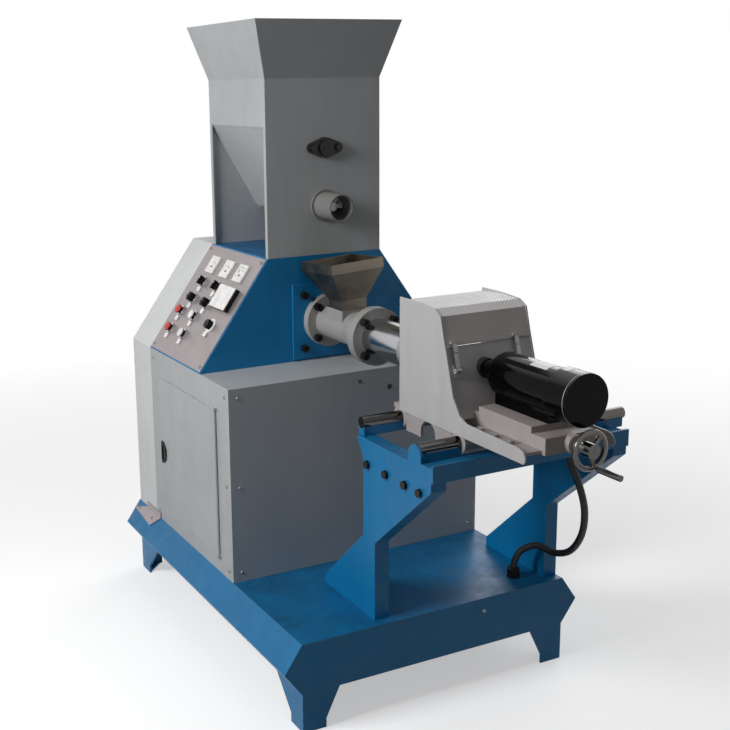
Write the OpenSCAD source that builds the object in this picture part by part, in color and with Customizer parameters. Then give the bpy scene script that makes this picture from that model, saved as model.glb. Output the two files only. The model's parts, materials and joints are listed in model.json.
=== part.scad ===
// Small extruder for floating fish feed, on its own folded base.
// Right is +X, the rear is +Y and up is +Z. Heights start at the floor.
// Places along Y are counted from the front plate of the base, and in_frame()
// then moves the whole machine so that it stands centred on the origin.

/* [Base] */
// Width of the base across its top
base_w = 660; // [600:5:760]
// Depth of the base, front plate to rear plate
base_d = 950; // [930:5:1100]
// Height of the top of the base
base_top = 195; // [170:1:230]
// Height of the fold that stands out at each side
base_fold = 138; // [120:1:150]
// Height of the underside of the base
base_low = 85; // [60:1:105]
// How far the side folds stand out
base_bulge = 40; // [20:1:60]
// Thickness of the end plates and the leg plates
plate = 5; // [4:0.5:8]
// Thickness of all folded sheets
sheet = 3; // [2:0.25:4]
// Width of the front wing of a leg where it meets the base
leg_front_w = 86; // [70:1:110]
// Width of the side wing of a leg where it meets the base
leg_side_w = 118; // [80:1:140]
// Width of a leg at the floor
leg_foot = 54; // [40:1:66]
// Height over which the leg keeps its foot width
leg_foot_h = 20; // [10:1:40]
// Width of the lips folded in under the base
base_lip = 30; // [15:1:50]

/* [Cabinet] */
// Distance from the base front plate to the cabinet front
cab_front = 331; // [300:1:350]
// Distance from the base front plate to the seam of the belt guard
cab_rear = 815; // [800:1:840]
// Height of the top of the cabinet
cab_top = 645; // [620:1:680]
// Distance of the front edge of the door from the base front plate
door_front = 403; // [380:1:430]
// Width of the door
door_w = 354; // [250:1:365]
// Height of the door
door_h = 345; // [250:1:380]
// Height of the lower edge of the door above the top of the base
door_lift = 42; // [30:1:60]
// Thickness of the folded door
door_t = 6; // [5:0.5:8]
// How far the door laps over its opening
door_lap = 14; // [10:1:20]
// Distance from the base front plate to the rear of the belt guard
guard_rear = 943; // [930:1:948]

/* [Upper body] */
// Distance from the base front plate to the front of the blue body
body_front = 490; // [480:1:500]
// Height of the top of the blue body
body_top = 896; // [880:1:920]
// Width of the top of the blue body and of the hopper
hop_w = 300; // [260:1:340]

/* [Hopper] */
// Distance from the base front plate to the rear wall of the hopper
hop_rear = 807; // [800:1:812]
// Height at which the flare starts
flare_low = 1302; // [1280:1:1330]
// Height of the hopper rim
hop_top = 1430; // [1400:1:1480]
// How far the rim stands out beyond the walls
flare_out = 38; // [20:1:60]
// Height at which the sloping floor meets the side walls
chute_top = 1195; // [1180:1:1230]
// Height of the feed auger
auger_z = 1011; // [1000:1:1030]
// Radius of the round bottom of the trough
trough_r = 34; // [30:1:38]
// Outer radius of the feed tube
feed_r = 31; // [28:1:33]
// How far the feed tube stands out in front of the hopper
feed_reach = 82; // [70:1:95]
// Reach of an agitator arm
stir_r = 78; // [60:1:82]

/* [Barrel] */
// Height of the extruder axis
axis_z = 740; // [730:1:750]
// Outer radius of the cast barrel
barrel_r = 40; // [38:1:43]
// Bore radius of the barrel and of the head tube
bore_r = 31.3; // [30:0.1:33]
// Outer radius of the rear flange
flange_r1 = 62; // [60:1:66]
// Outer radius of the front flanges
flange_r2 = 65; // [63:1:70]
// Thickness of one flange
flange_t = 13; // [11:0.5:16]
// Thickness of the rear flange
rear_flange_t = 20; // [16:0.5:24]
// Distance from the base front plate to the joint of the two front flanges
joint_y = 262; // [255:1:270]
// Distance from the base front plate to the end of the polished tube
tube_end = 104; // [100:1:110]
// Outer radius of the polished head tube
tube_r = 43; // [41:1:46]
// Bolt circle radius of the flanges
bolt_circle = 52.5; // [50:0.5:53]
// Size of the square plate behind the barrel
mount_w = 180; // [170:1:190]
// Radius of a socket screw head
bolt_head_r = 9; // [8:0.5:9.5]
// Radius of a socket screw shank
bolt_r = 6; // [5:0.5:6.5]

/* [Stand] */
// Left outer face of the cutter stand, left of the machine's middle
stand_left = 146; // [140:1:160]
// Thickness of a pedestal
ped_t = 34; // [28:1:40]
// Height of the top of the pedestals
ped_top = 580; // [570:1:585]
// Distance from the base front plate to the front edge of a foot
ped_front = 24; // [15:1:40]
// Depth of a foot along the base
ped_foot = 214; // [180:1:240]
// Reach of the overhang before the base front plate
ped_reach = 178; // [170:1:190]
// Radius of the round rails
rail_r = 12.5; // [11:0.5:14]
// Height of the rail axes
rail_z = 607; // [604:1:610]
// Place of the front rail before the base front plate
rail_front = 121; // [115:1:125]
// Distance between the two rails
rail_gap = 207; // [200:1:215]

/* [Cutter] */
// How far the cutter stands right of the extruder axis
cutter_x = 52; // [45:1:60]
// How far the knife shaft lies to the left of the cutter's middle
shaft_off = 17; // [12:1:20]
// Distance between the outer faces of the housing sides
house_w = 208; // [196:1:220]
// Height of the top of the housing
house_top = 862; // [850:1:875]
// Height of the lower edge of the housing sides
house_low = 623; // [622:0.5:626]
// Height of the seam below the lid
seam_z = 787; // [780:1:800]
// Radius of the motor body
motor_r = 44; // [40:1:45]
// Radius of the motor end cap
cap_r = 50; // [46:1:52]
// Length of the motor body
motor_l = 178; // [160:1:190]
// Length of the motor end cap
cap_l = 58; // [40:1:70]
// Radius swept by the knives
knife_r = 78; // [70:1:82]
// Radius of the handwheel to the middle of its rim
wheel_r = 34; // [30:1:38]
// Height of the lead screw
screw_z = 648; // [646:0.5:650]
// Length of the crank grip
grip_l = 58; // [40:1:70]

/* [Hidden] */
$fn = 64;

// Clearances, and one overrun for all cuts
over = 1;
gap = 0.3;
fit = 0.05;
play = 0.5;

// Half widths and places that several pieces share
half_w = base_w / 2;
shaft_x = cutter_x - shaft_off;
slide_front = -330;
boss_l = 15;
boss_r = 18;
wheel_stand = 25;
wheel_hub_t = 22;
wheel_rear = slide_front - boss_l - wheel_stand;
grip_end = wheel_rear - wheel_hub_t - grip_l;
// Half way between the tip of the crank grip and the rear of the base
y_mid = (base_d + grip_end) / 2;

module in_frame() {
  translate([0, -y_mid, 0])
    children();
}

// Box between two corners
module block(x0, x1, y0, y1, z0, z1) {
  translate([x0, y0, z0])
    cube([x1 - x0, y1 - y0, z1 - z0]);
}

// Round bar along Y or X through the point (x, z) or (y, z)
module rod_y(r, y0, y1, x = 0, z = 0) {
  translate([x, y0, z])
    rotate([-90, 0, 0])
      cylinder(r = r, h = y1 - y0);
}

module rod_x(r, x0, x1, y = 0, z = 0) {
  translate([x0, y, z])
    rotate([0, 90, 0])
      cylinder(r = r, h = x1 - x0);
}

// Outline in (X, Z) made solid from y0 to y1
module front_cut(y0, y1) {
  translate([0, y1, 0])
    rotate([90, 0, 0])
      linear_extrude(height = y1 - y0)
        children();
}

// Outline in (Y, Z) made solid from x0 to x1
module side_cut(x0, x1) {
  translate([x0, 0, 0])
    rotate([90, 0, 90])
      linear_extrude(height = x1 - x0)
        children();
}

// Closed outline moved inward by d (points given counter-clockwise)
function unit(v) = v / norm(v);
function side_of(u, v) = [-u[1] - v[1], u[0] + v[0]];
function moved(b, n, d) = b + n * 2 * d / (n * n);
function inset(p, d) = [for (i = [0 : len(p) - 1])
  let (b = p[i], u = unit(b - p[(i + len(p) - 1) % len(p)]), v = unit(p[(i + 1) % len(p)] - b))
    moved(b, side_of(u, v), d)];

// Open path moved to its left by d, and the bent sheet between both
function beside(p, d) = [for (i = [0 : len(p) - 1])
  let (u = unit(p[max(i, 1)] - p[max(i, 1) - 1]),
    v = unit(p[min(i + 1, len(p) - 1)] - p[min(i + 1, len(p) - 1) - 1]))
    moved(p[i], side_of(u, v), d)];
function back(p) = [for (i = [len(p) - 1 : -1 : 0]) p[i]];
function strip(p, d) = concat(p, back(beside(p, d)));

// Base: one folded box with four legs, all welded

base_points = [[-half_w, base_low], [half_w, base_low], [half_w + base_bulge, base_fold],
  [half_w, base_top], [-half_w, base_top], [-half_w - base_bulge, base_fold]];

// One leg of two wings with its small foot pad, at the right front corner
module leg() {
  front_cut(0, plate)
    polygon([[half_w, 0], [half_w, base_low + plate], [half_w - leg_front_w, base_low + plate],
      [half_w - leg_front_w, base_low], [half_w - leg_foot, leg_foot_h], [half_w - leg_foot, 0]]);
  side_cut(half_w - plate, half_w)
    polygon([[0, 0], [0, base_low + plate], [leg_side_w, base_low + plate],
      [leg_side_w, base_low], [leg_foot, leg_foot_h], [leg_foot, 0]]);
  linear_extrude(height = plate)
    polygon([[half_w, 0], [half_w, leg_foot], [half_w - leg_foot, 0]]);
}

module base_frame() {
  color("steelblue")
    in_frame() {
      difference() {
        front_cut(0, base_d)
          polygon(base_points);
        front_cut(plate, base_d - plate)
          polygon(inset(base_points, sheet));
        block(-half_w + base_lip, half_w - base_lip, plate, base_d - plate,
          base_low - over, base_low + sheet + over);
      }
      for (side = [0, 1], rear = [0, 1])
        translate([0, rear * base_d, 0])
          mirror([0, rear, 0])
            mirror([side, 0, 0])
              leg();
    }
}

// Pale bent bracket screwed to the left slope near the rear
bracket_t = 3;
bracket_front = 785;
bracket_l = 163;
bracket_lip_l = 98;
bracket_lip_h = 15;
bracket_low = 35;
bracket_tip = 46;
slope_side = norm([base_bulge, base_top - base_fold]);

module rear_bracket() {
  color("mistyrose")
    in_frame() {
      translate([-half_w - base_bulge, 0, base_fold])
        rotate([0, atan2(base_bulge, base_top - base_fold), 0])
          side_cut(-gap - bracket_t, -gap)
            polygon([[bracket_front, slope_side], [bracket_front + bracket_low, bracket_low],
              [bracket_front + bracket_l, bracket_tip],
              [bracket_front + bracket_lip_l, slope_side]]);
      block(-half_w - gap - bracket_t, -half_w - gap, bracket_front, bracket_front + bracket_lip_l,
        base_top + gap, base_top + bracket_lip_h);
    }
}

// Cabinet and its door

door_rear = door_front + door_w;
door_low = base_top + door_lift;
door_high = door_low + door_h;
hinge_x = -half_w - gap - door_t / 2;
pin_r = 2;
pin_l = 6;
lug_w = 11;
lug_h = 6;
shaft_hole = 60;
motor_z = 370;
motor_shaft_r = 21;
main_r = 22.5;

module door_lug() {
  difference() {
    union() {
      block(hinge_x, -half_w, door_front - lug_w / 2, door_front + lug_w / 2, 0, lug_h);
      translate([hinge_x, door_front, 0])
        cylinder(r = lug_w / 2, h = lug_h);
    }
    translate([hinge_x, door_front, -over])
      cylinder(r = pin_r + fit, h = lug_h + 2 * over);
  }
}

module cabinet_shell() {
  color("silver")
    in_frame() {
      difference() {
        block(-half_w, half_w, cab_front, cab_rear, base_top, cab_top);
        block(-half_w + sheet, half_w - sheet, cab_front + sheet, cab_rear - sheet,
          base_top - over, cab_top - sheet);
        block(-half_w - over, -half_w + sheet + over, door_front + door_lap, door_rear - door_lap,
          door_low + door_lap, door_high - door_lap);
        rod_y(shaft_hole, cab_rear - sheet - over, cab_rear + over, 0, motor_z);
      }
      for (z = [door_low - gap - lug_h, door_high + gap])
        translate([0, 0, z])
          door_lug();
    }
}

// Folded door with a rolled front edge that turns on two short pins
module cabinet_door() {
  color("silver")
    in_frame() {
      block(hinge_x - door_t / 2, hinge_x + door_t / 2, door_front, door_rear, door_low, door_high);
      translate([hinge_x, door_front, door_low])
        cylinder(r = door_t / 2, h = door_h);
      translate([hinge_x, door_front, door_low - pin_l])
        cylinder(r = pin_r, h = door_h + 2 * pin_l);
    }
}

// Black half-round pull near the rear edge of the door
pull_r = 28;
pull_t = 4;
pull_in = 20;
pull_wall = 3;
pull_z = 392;

module pull_half(r) {
  intersection() {
    translate([door_rear - pull_in, pull_z])
      circle(r = r);
    translate([door_rear - pull_in - 2 * pull_r, pull_z - pull_r])
      square([2 * pull_r, 2 * pull_r]);
  }
}

module door_handle() {
  outer = hinge_x - door_t / 2;
  color("black")
    in_frame()
      difference() {
        side_cut(outer - pull_t, outer)
          pull_half(pull_r);
        side_cut(outer - pull_t - over, outer - pull_wall / 2)
          translate([-pull_wall, 0])
            pull_half(pull_r - 2 * pull_wall);
      }
}

// Small domed screws of the sheets: cabinet, control panel, base and bracket
screw_r = 4.5;
screw_h = 2.2;
screw_in = 22;
screw_mid_z = 417;
base_screw_x = 116;
base_screw_z = 165;
bracket_screw_s = 54;
bracket_screw_in = 45;
bracket_screw_l = 92;

module domed_screw(r = screw_r) {
  cylinder(r1 = r, r2 = r * 2 / 3, h = screw_h);
}

module sheet_screws() {
  color("gray")
    in_frame() {
      for (z = [base_top + screw_in, screw_mid_z, cab_top - screw_in]) {
        translate([-half_w, cab_front + screw_in, z])
          rotate([0, -90, 0])
            domed_screw();
        for (x = [-half_w + screw_in, half_w - screw_in])
          translate([x, cab_front, z])
            rotate([90, 0, 0])
              domed_screw();
      }
      for (z = [base_top + screw_in, cab_top - screw_in])
        translate([-half_w, cab_rear - screw_in, z])
          rotate([0, -90, 0])
            domed_screw();
      translate([base_screw_x, 0, base_screw_z])
        rotate([90, 0, 0])
          domed_screw();
      translate([-half_w - base_bulge, 0, base_fold])
        rotate([0, atan2(base_bulge, base_top - base_fold), 0])
          for (y = [bracket_front + bracket_screw_in, bracket_front + bracket_screw_in + bracket_screw_l])
            translate([-gap - bracket_t, y, bracket_screw_s])
              rotate([0, -90, 0])
                domed_screw();
      on_panel()
        for (s = [panel_in + panel_screw_in, panel_in + panel_w - panel_screw_in],
          t = [panel_in + panel_screw_in, panel_in + panel_h - panel_screw_in])
          translate([-s, t, panel_t])
            domed_screw();
    }
}

// Main drive in the cabinet and behind it

motor_body_r = 118;
motor_front = 410;
motor_rear = 690;
fin_h = 12;
fin_t = 5;
fin_n = 20;
fan_l = 60;
foot_w = 250;
foot_t = 18;
foot_l = 60;
leg_t = 14;
box_w = 120;
box_h = 60;

module main_motor() {
  color("dimgray")
    in_frame()
      difference() {
        union() {
          rod_y(motor_body_r, motor_front, motor_rear, 0, motor_z);
          rod_y(motor_body_r + fin_h, motor_front - fan_l, motor_front, 0, motor_z);
          rod_y(motor_body_r / 2, motor_rear, motor_rear + 2 * foot_t, 0, motor_z);
          translate([0, motor_front, motor_z])
            for (a = [0 : 360 / fin_n : 359])
              rotate([0, a, 0])
                block(motor_body_r - fin_t, motor_body_r + fin_h, 0,
                  motor_rear - motor_front, -fin_t / 2, fin_t / 2);
          for (y = [motor_front + leg_t, motor_rear - foot_l - leg_t]) {
            block(-foot_w / 2, foot_w / 2, y, y + foot_l, base_top, base_top + foot_t);
            for (side = [-1, 1])
              translate([side * motor_body_r * 2 / 3, 0, 0])
                block(-leg_t / 2, leg_t / 2, y, y + foot_l, base_top, motor_z - motor_body_r / 2);
          }
          block(-box_w / 2, box_w / 2, motor_front + foot_l, motor_front + foot_l + box_w,
            motor_z + motor_body_r - fin_t, motor_z + motor_body_r + box_h);
        }
        rod_y(motor_shaft_r + fit, motor_rear - foot_l, motor_rear + 2 * foot_t + over, 0, motor_z);
      }
}

// Three-groove pulleys, small on the motor and large on the main shaft
pulley_y = 868;
small_pulley_r = 56;
large_pulley_r = 140;
belt_n = 3;
belt_pitch = 17;
belt_w = 11;
belt_h = 9;
groove_w = belt_w + 2 * play;
rim_w = belt_n * belt_pitch + plate;
hub_r = 38;
web_t = 14;

module grooved_rim(r, inner) {
  rotate([-90, 0, 0])
    rotate_extrude($fn = 96)
      difference() {
        translate([inner, -rim_w / 2])
          square([r - inner, rim_w]);
        for (i = [0 : belt_n - 1])
          translate([r - belt_h, (i - (belt_n - 1) / 2) * belt_pitch - groove_w / 2])
            square([belt_h + over, groove_w]);
      }
}

module motor_pulley() {
  color("darkgray")
    in_frame() {
      rod_y(motor_shaft_r, motor_rear - foot_l + over, pulley_y + rim_w / 2, 0, motor_z);
      translate([0, pulley_y, motor_z])
        grooved_rim(small_pulley_r, motor_shaft_r - over);
    }
}

module large_pulley() {
  color("darkgray")
    in_frame()
      translate([0, pulley_y, axis_z]) {
        grooved_rim(large_pulley_r, large_pulley_r - 2 * belt_h);
        difference() {
          union() {
            rod_y(large_pulley_r - 2 * belt_h + over, -web_t / 2, web_t / 2);
            rod_y(hub_r, -rim_w / 2, rim_w / 2);
          }
          rod_y(main_r, -rim_w, rim_w);
        }
      }
}

// A belt runs round both pulleys on two tangents
belt_d = axis_z - motor_z;

belt_steps = 24;

module belt_outline(r1, r2) {
  lean = asin((r2 - r1) / belt_d);
  polygon(concat(
    [for (i = [0 : belt_steps]) let (a = 180 + lean + i * (180 - 2 * lean) / belt_steps) r1 * [cos(a), sin(a)]],
    [for (i = [0 : belt_steps]) let (a = -lean + i * (180 + 2 * lean) / belt_steps)
      [r2 * cos(a), belt_d + r2 * sin(a)]]));
}

module drive_belts() {
  floor_r = -belt_h + play;
  color("black")
    in_frame()
      translate([0, pulley_y, motor_z])
        for (i = [0 : belt_n - 1])
          translate([0, (i - (belt_n - 1) / 2) * belt_pitch, 0])
            difference() {
              front_cut(-belt_w / 2, belt_w / 2)
                belt_outline(small_pulley_r + play, large_pulley_r + play);
              front_cut(-belt_w, belt_w)
                belt_outline(small_pulley_r + floor_r, large_pulley_r + floor_r);
            }
}

// Silhouette shared by the blue body and the belt guard behind it
body_points = [[-half_w, cab_top], [half_w, cab_top], [hop_w / 2, body_top], [-hop_w / 2, body_top]];
guard_points = [[-half_w, base_top], [half_w, base_top], [half_w, cab_top],
  [hop_w / 2, body_top], [-hop_w / 2, body_top], [-half_w, cab_top]];

module belt_guard() {
  color("gainsboro")
    in_frame()
      difference() {
        front_cut(cab_rear, guard_rear)
          polygon(guard_points);
        front_cut(cab_rear - over, guard_rear - sheet)
          polygon(inset(guard_points, sheet));
      }
}

// Housing of the thrust bearing inside the blue body
bearing_front = 505;
bearing_l = 220;
bearing_rear = bearing_front + bearing_l;
bearing_r = 66;
bearing_foot_w = 150;
bearing_foot_t = 20;
bearing_in = 15;
rib_t = 40;

module bearing_housing() {
  color("slategray")
    in_frame()
      difference() {
        union() {
          rod_y(bearing_r, bearing_front, bearing_rear, 0, axis_z);
          block(-bearing_foot_w / 2, bearing_foot_w / 2, bearing_front + bearing_in,
            bearing_rear - bearing_in, cab_top, cab_top + bearing_foot_t);
          block(-rib_t / 2, rib_t / 2, bearing_front + bearing_in, bearing_rear - bearing_in,
            cab_top, axis_z);
        }
        rod_y(main_r + fit, bearing_front - over, bearing_rear + over, 0, axis_z);
      }
}

module main_shaft() {
  color("lightgray")
    in_frame() {
      rod_y(main_r, shaft_front, pulley_y + rim_w, 0, axis_z);
      rod_y(main_r * 4 / 3, bearing_rear + gap, bearing_rear + rib_t / 2, 0, axis_z);
    }
}

// Upper body and the sloping control panel on its left side
slope_a = atan2(body_top - cab_top, half_w - hop_w / 2);
slope_l = norm([body_top - cab_top, half_w - hop_w / 2]);
panel_in = 4;
panel_t = 2;
panel_w = cab_rear - body_front - 2 * panel_in;
panel_h = slope_l - 2 * panel_in;
panel_screw_in = 11;
window_in = 24;

// Places on the panel: x runs to the front, y up the slope, z straight out
module on_panel() {
  translate([-half_w, body_front, cab_top])
    rotate([0, -slope_a, 0])
      rotate([0, 0, -90])
        children();
}

module panel_block(s0, s1, t0, t1, n0, n1) {
  translate([-s1, t0, n0])
    cube([s1 - s0, t1 - t0, n1 - n0]);
}

module upper_body() {
  low = [[-half_w, cab_top - over], [half_w, cab_top - over], [half_w, cab_top], [-half_w, cab_top]];
  in_points = inset(body_points, sheet);
  color("steelblue")
    in_frame()
      difference() {
        front_cut(body_front, cab_rear)
          polygon(body_points);
        front_cut(body_front + sheet, cab_rear - sheet)
          polygon(in_points);
        block(in_points[0][0], in_points[1][0], body_front + sheet, cab_rear - sheet,
          cab_top - over, cab_top + sheet + over);
        rod_y(main_r + play, body_front - over, body_front + sheet + over, 0, axis_z);
        rod_y(hub_r + play, cab_rear - sheet - over, cab_rear + over, 0, axis_z);
        on_panel()
          panel_block(window_in, panel_in + panel_w - window_in, window_in,
            panel_in + panel_h - window_in, -window_in, over);
        plate_bolt_places()
          rod_y(bolt_r + gap, body_front - over, body_front + sheet + over);
      }
}

// Rows and columns of the controls, counted from the lower front corner
col_1 = 244;
col_2 = 158;
col_3 = 79;
col_5 = 186;
row_meter = 255;
row_select = 206;
row_star = 158;
row_upper = 118;
row_lower = 67;
row_knob = 113;
stem_r = 8.6;
head_r = 11;
bezel_r = 14;
bezel_h = 4;
barrel_h = 36;
travel = 4;
cap_h = 4;
knob_h = 13;
knobs = [[col_1, row_select], [col_2, row_select], [col_1, row_star], [col_2, row_star]];
scale_r = 18;
pot_r = 3;
drive_w = 84;
drive_h = 59;
drive_low = 155;
drive_front = 35;
drive_out = 14;
meter_w = 46;
meter_out = 4;
label_w = 13;
col_4 = col_1 + 2 * label_w;
buttons = [[col_4, row_upper], [col_5, row_upper], [col_4, row_lower], [col_5, row_lower]];
label_t = 0.6;
label_up = 21;

module control_panel() {
  color("rosybrown")
    in_frame()
      on_panel()
        difference() {
          panel_block(panel_in, panel_in + panel_w, panel_in, panel_in + panel_h, 0, panel_t);
          for (c = concat(buttons, knobs))
            translate([-c[0], c[1], -over])
              cylinder(r = head_r + gap, h = panel_t + 2 * over);
          translate([-col_3, row_knob, -over])
            cylinder(r = pot_r + play, h = panel_t + 2 * over);
        }
}

module meters_and_labels() {
  color("white")
    in_frame()
      on_panel() {
        for (s = [col_1, col_2, col_3])
          difference() {
            panel_block(s - meter_w / 2, s + meter_w / 2, row_meter - meter_w / 2,
              row_meter + meter_w / 2, panel_t, panel_t + meter_out);
            panel_block(s - meter_w / 3, s + meter_w / 3, row_meter - meter_w / 4,
              row_meter + meter_w / 3, panel_t + meter_out - label_t, panel_t + meter_out + over);
          }
        for (c = concat(buttons, knobs))
          panel_block(c[0] - label_w / 2, c[0] + label_w / 2, c[1] - label_up - label_w / 2,
            c[1] - label_up + label_w / 2, panel_t, panel_t + label_t);
        translate([-col_3, row_knob, panel_t])
          difference() {
            cylinder(r = scale_r, h = label_t);
            translate([0, 0, -over])
              cylinder(r = pot_r + play, h = label_t + 2 * over);
          }
      }
}

module speed_drive() {
  color("whitesmoke")
    in_frame()
      on_panel() {
        panel_block(drive_front, drive_front + drive_w, drive_low, drive_low + drive_h,
          panel_t, panel_t + drive_out);
        panel_block(drive_front + drive_out, drive_front + drive_w - drive_out,
          drive_low + drive_h / 2, drive_low + drive_h - label_w / 2,
          panel_t + drive_out - over, panel_t + drive_out + label_t);
        for (i = [0 : 2])
          panel_block(drive_front + drive_out * (i + 1) + label_w * i / 2,
            drive_front + drive_out * (i + 1) + label_w * (i + 1) / 2 + over,
            drive_low + label_w, drive_low + label_w + label_w / 2,
            panel_t + drive_out - over, panel_t + drive_out + 2 * label_t);
      }
}

// Fixed part of one switch: bezel, barrel through the panel, and contact block
module switch_base() {
  difference() {
    union() {
      translate([0, 0, panel_t])
        cylinder(r = bezel_r, h = bezel_h);
      translate([0, 0, -barrel_h])
        cylinder(r = head_r, h = barrel_h + panel_t + over);
      translate([-bezel_r, -bezel_r, -2 * barrel_h])
        cube([2 * bezel_r, 2 * bezel_r, barrel_h + over]);
    }
    translate([0, 0, -travel - bezel_h - play])
      cylinder(r = stem_r + fit, h = panel_t + 2 * bezel_h + travel + play + over);
  }
}

module switch_bases() {
  color("dimgray")
    in_frame()
      on_panel() {
        for (c = concat(buttons, knobs))
          translate([-c[0], c[1], 0])
            switch_base();
        translate([-col_3, row_knob, 0])
          difference() {
            translate([0, 0, -bezel_h])
              rotate([0, 180, 0])
                cylinder(r = bezel_r, h = bezel_r);
            translate([0, 0, -bezel_h - bezel_r / 2])
              cylinder(r = pot_r + fit, h = bezel_r);
          }
        translate([-col_3, row_knob, -bezel_h])
          difference() {
            cylinder(r = 2 * pot_r, h = bezel_h);
            translate([0, 0, -over])
              cylinder(r = pot_r + fit, h = bezel_h + 2 * over);
          }
      }
}

module button(place) {
  in_frame()
    on_panel()
      translate([-place[0], place[1], 0]) {
        translate([0, 0, -bezel_h])
          cylinder(r = stem_r, h = panel_t + 2 * bezel_h + travel + over);
        translate([0, 0, panel_t + bezel_h + travel + play])
          cylinder(r = head_r, h = cap_h);
      }
}

// Turning head with a raised finger bar
module selector(place) {
  top = panel_t + bezel_h;
  in_frame()
    on_panel()
      translate([-place[0], place[1], 0]) {
        translate([0, 0, -bezel_h])
          cylinder(r = stem_r, h = top + 2 * bezel_h);
        translate([0, 0, top + gap])
          cylinder(r = head_r, h = cap_h);
        translate([-pot_r, -head_r, top + cap_h - over])
          cube([2 * pot_r, 2 * head_r, knob_h - cap_h]);
      }
}

// Star knob: a hub with round lobes
lobe_n = 6;

module star_knob(place) {
  top = panel_t + bezel_h;
  in_frame()
    on_panel()
      translate([-place[0], place[1], 0]) {
        translate([0, 0, -bezel_h])
          cylinder(r = stem_r, h = top + 2 * bezel_h);
        translate([0, 0, top + gap])
          cylinder(r = head_r * 3 / 4, h = knob_h);
        for (a = [0 : 360 / lobe_n : 359])
          rotate([0, 0, a])
            translate([head_r * 3 / 4, 0, top + gap])
              cylinder(r = head_r * 3 / 8, h = knob_h - cap_h / 2);
      }
}

module stop_button_upper() {
  color("red") button(buttons[0]);
}

module start_button_upper() {
  color("white") button(buttons[1]);
}

module stop_button_lower() {
  color("red") button(buttons[2]);
}

module start_button_lower() {
  color("white") button(buttons[3]);
}

module selector_left() {
  color("black") selector(knobs[0]);
}

module selector_right() {
  color("black") selector(knobs[1]);
}

module star_knob_left() {
  color("black") star_knob(knobs[2]);
}

module star_knob_right() {
  color("black") star_knob(knobs[3]);
}

module speed_knob() {
  color("black")
    in_frame()
      on_panel()
        translate([-col_3, row_knob, 0]) {
          translate([0, 0, -bezel_h - bezel_r / 2])
            cylinder(r = pot_r, h = 2 * bezel_h + bezel_r / 2 + panel_t);
          difference() {
            translate([0, 0, panel_t + label_t + gap])
              cylinder(r1 = head_r, r2 = head_r - label_t, h = knob_h);
            translate([-label_t, head_r / 2, knob_h])
              cube([2 * label_t, head_r, knob_h]);
          }
        }
}

// Hopper, its sloping floor and the agitator
hop_half = hop_w / 2;
post_w = 12;
chain_pitch = 12.7;
run_link_n = 10.5;
stir_z = auger_z + run_link_n * chain_pitch;
stir_shaft_r = 11;
stir_hole = 16;

module flared(d, z0, z1) {
  slope = flare_out / (hop_top - flare_low);
  low = (flare_low - z0) * slope + d;
  high = (z1 - flare_low) * slope - d;
  intersection() {
    front_cut(body_front - 2 * flare_out, hop_rear + 2 * flare_out)
      polygon([[-hop_half + low, z0], [hop_half - low, z0], [hop_half + high, z1], [-hop_half - high, z1]]);
    side_cut(-hop_half - 2 * flare_out, hop_half + 2 * flare_out)
      polygon([[body_front + low, z0], [hop_rear - low, z0], [hop_rear + high, z1], [body_front - high, z1]]);
  }
}

module hopper_body() {
  color("silver")
    in_frame()
      difference() {
        union() {
          block(-hop_half, hop_half, body_front, hop_rear, body_top, flare_low);
          flared(0, flare_low, hop_top);
        }
        block(-hop_half + sheet, hop_half - sheet, body_front + sheet, hop_rear - sheet,
          body_top - over, flare_low);
        flared(sheet, flare_low - over, hop_top + over);
        block(-hop_half - over, -hop_half + sheet + over, body_front + post_w, hop_rear - post_w,
          body_top - over, chute_top);
        rod_y(feed_r + fit, body_front - over, body_front + sheet + over, 0, auger_z);
        rod_y(stir_hole, hop_rear - sheet - over, hop_rear + over, 0, auger_z);
        rod_y(stir_hole, body_front - over, hop_rear + over, 0, stir_z);
      }
}

chute_half = hop_half - sheet;
chute_rise = chute_top - auger_z;
chute_a = atan2(chute_rise, -chute_half) + acos(trough_r / norm([chute_half, chute_rise]));
function chute_x(r, z) = (r - z * sin(chute_a)) / cos(chute_a);

module chute_outline(r, z) {
  polygon([[r * cos(chute_a), r * sin(chute_a)], [-r * cos(chute_a), r * sin(chute_a)],
    [-chute_x(r, z), z], [chute_x(r, z), z]]);
  circle(r = r);
}

module hopper_chute() {
  front = body_front + sheet;
  rear = hop_rear - sheet;
  color("silver")
    in_frame()
      difference() {
        union() {
          translate([0, 0, auger_z])
            front_cut(front, rear)
              chute_outline(trough_r, chute_rise);
          block(-chute_half, chute_half, front, rear, chute_top - sheet, chute_top + post_w);
        }
        translate([0, 0, auger_z])
          front_cut(front - over, rear + over)
            chute_outline(trough_r - sheet, chute_rise + over);
        block(-chute_half + sheet, chute_half - sheet, front - over, rear + over,
          chute_top, chute_top + post_w + over);
      }
}

// Black oval flange bearings of the agitator
oval_w = 90;
oval_r = 24;
oval_end = 12;
oval_t = 9;
oval_hub_t = 16;

module flange_bearing() {
  reach = oval_w / 2 - oval_end;
  difference() {
    union() {
      hull()
        for (x = [-reach, 0, reach])
          rod_y(x == 0 ? oval_r : oval_end, -oval_t, 0, x);
      rod_y(oval_r * 3 / 4, -oval_hub_t, 0);
      for (x = [-reach, reach])
        rod_y(oval_end * 2 / 3, -oval_t - bolt_r, 0, x);
    }
    rod_y(stir_shaft_r + fit, -oval_hub_t - over, over);
  }
}

module flange_bearings() {
  color("black")
    in_frame() {
      translate([0, body_front, stir_z])
        flange_bearing();
      translate([0, hop_rear, stir_z])
        mirror([0, 1, 0])
          flange_bearing();
    }
}

// Chain drive behind the hopper
tooth_n = 15;
sprocket_r = chain_pitch / (2 * sin(180 / tooth_n));
sprocket_t = 5;
chain_y = 832;
roller_r = 3.9;
side_t = 1.2;
side_w = 3.6;
tip_r = sprocket_r + roller_r / 2;
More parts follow.
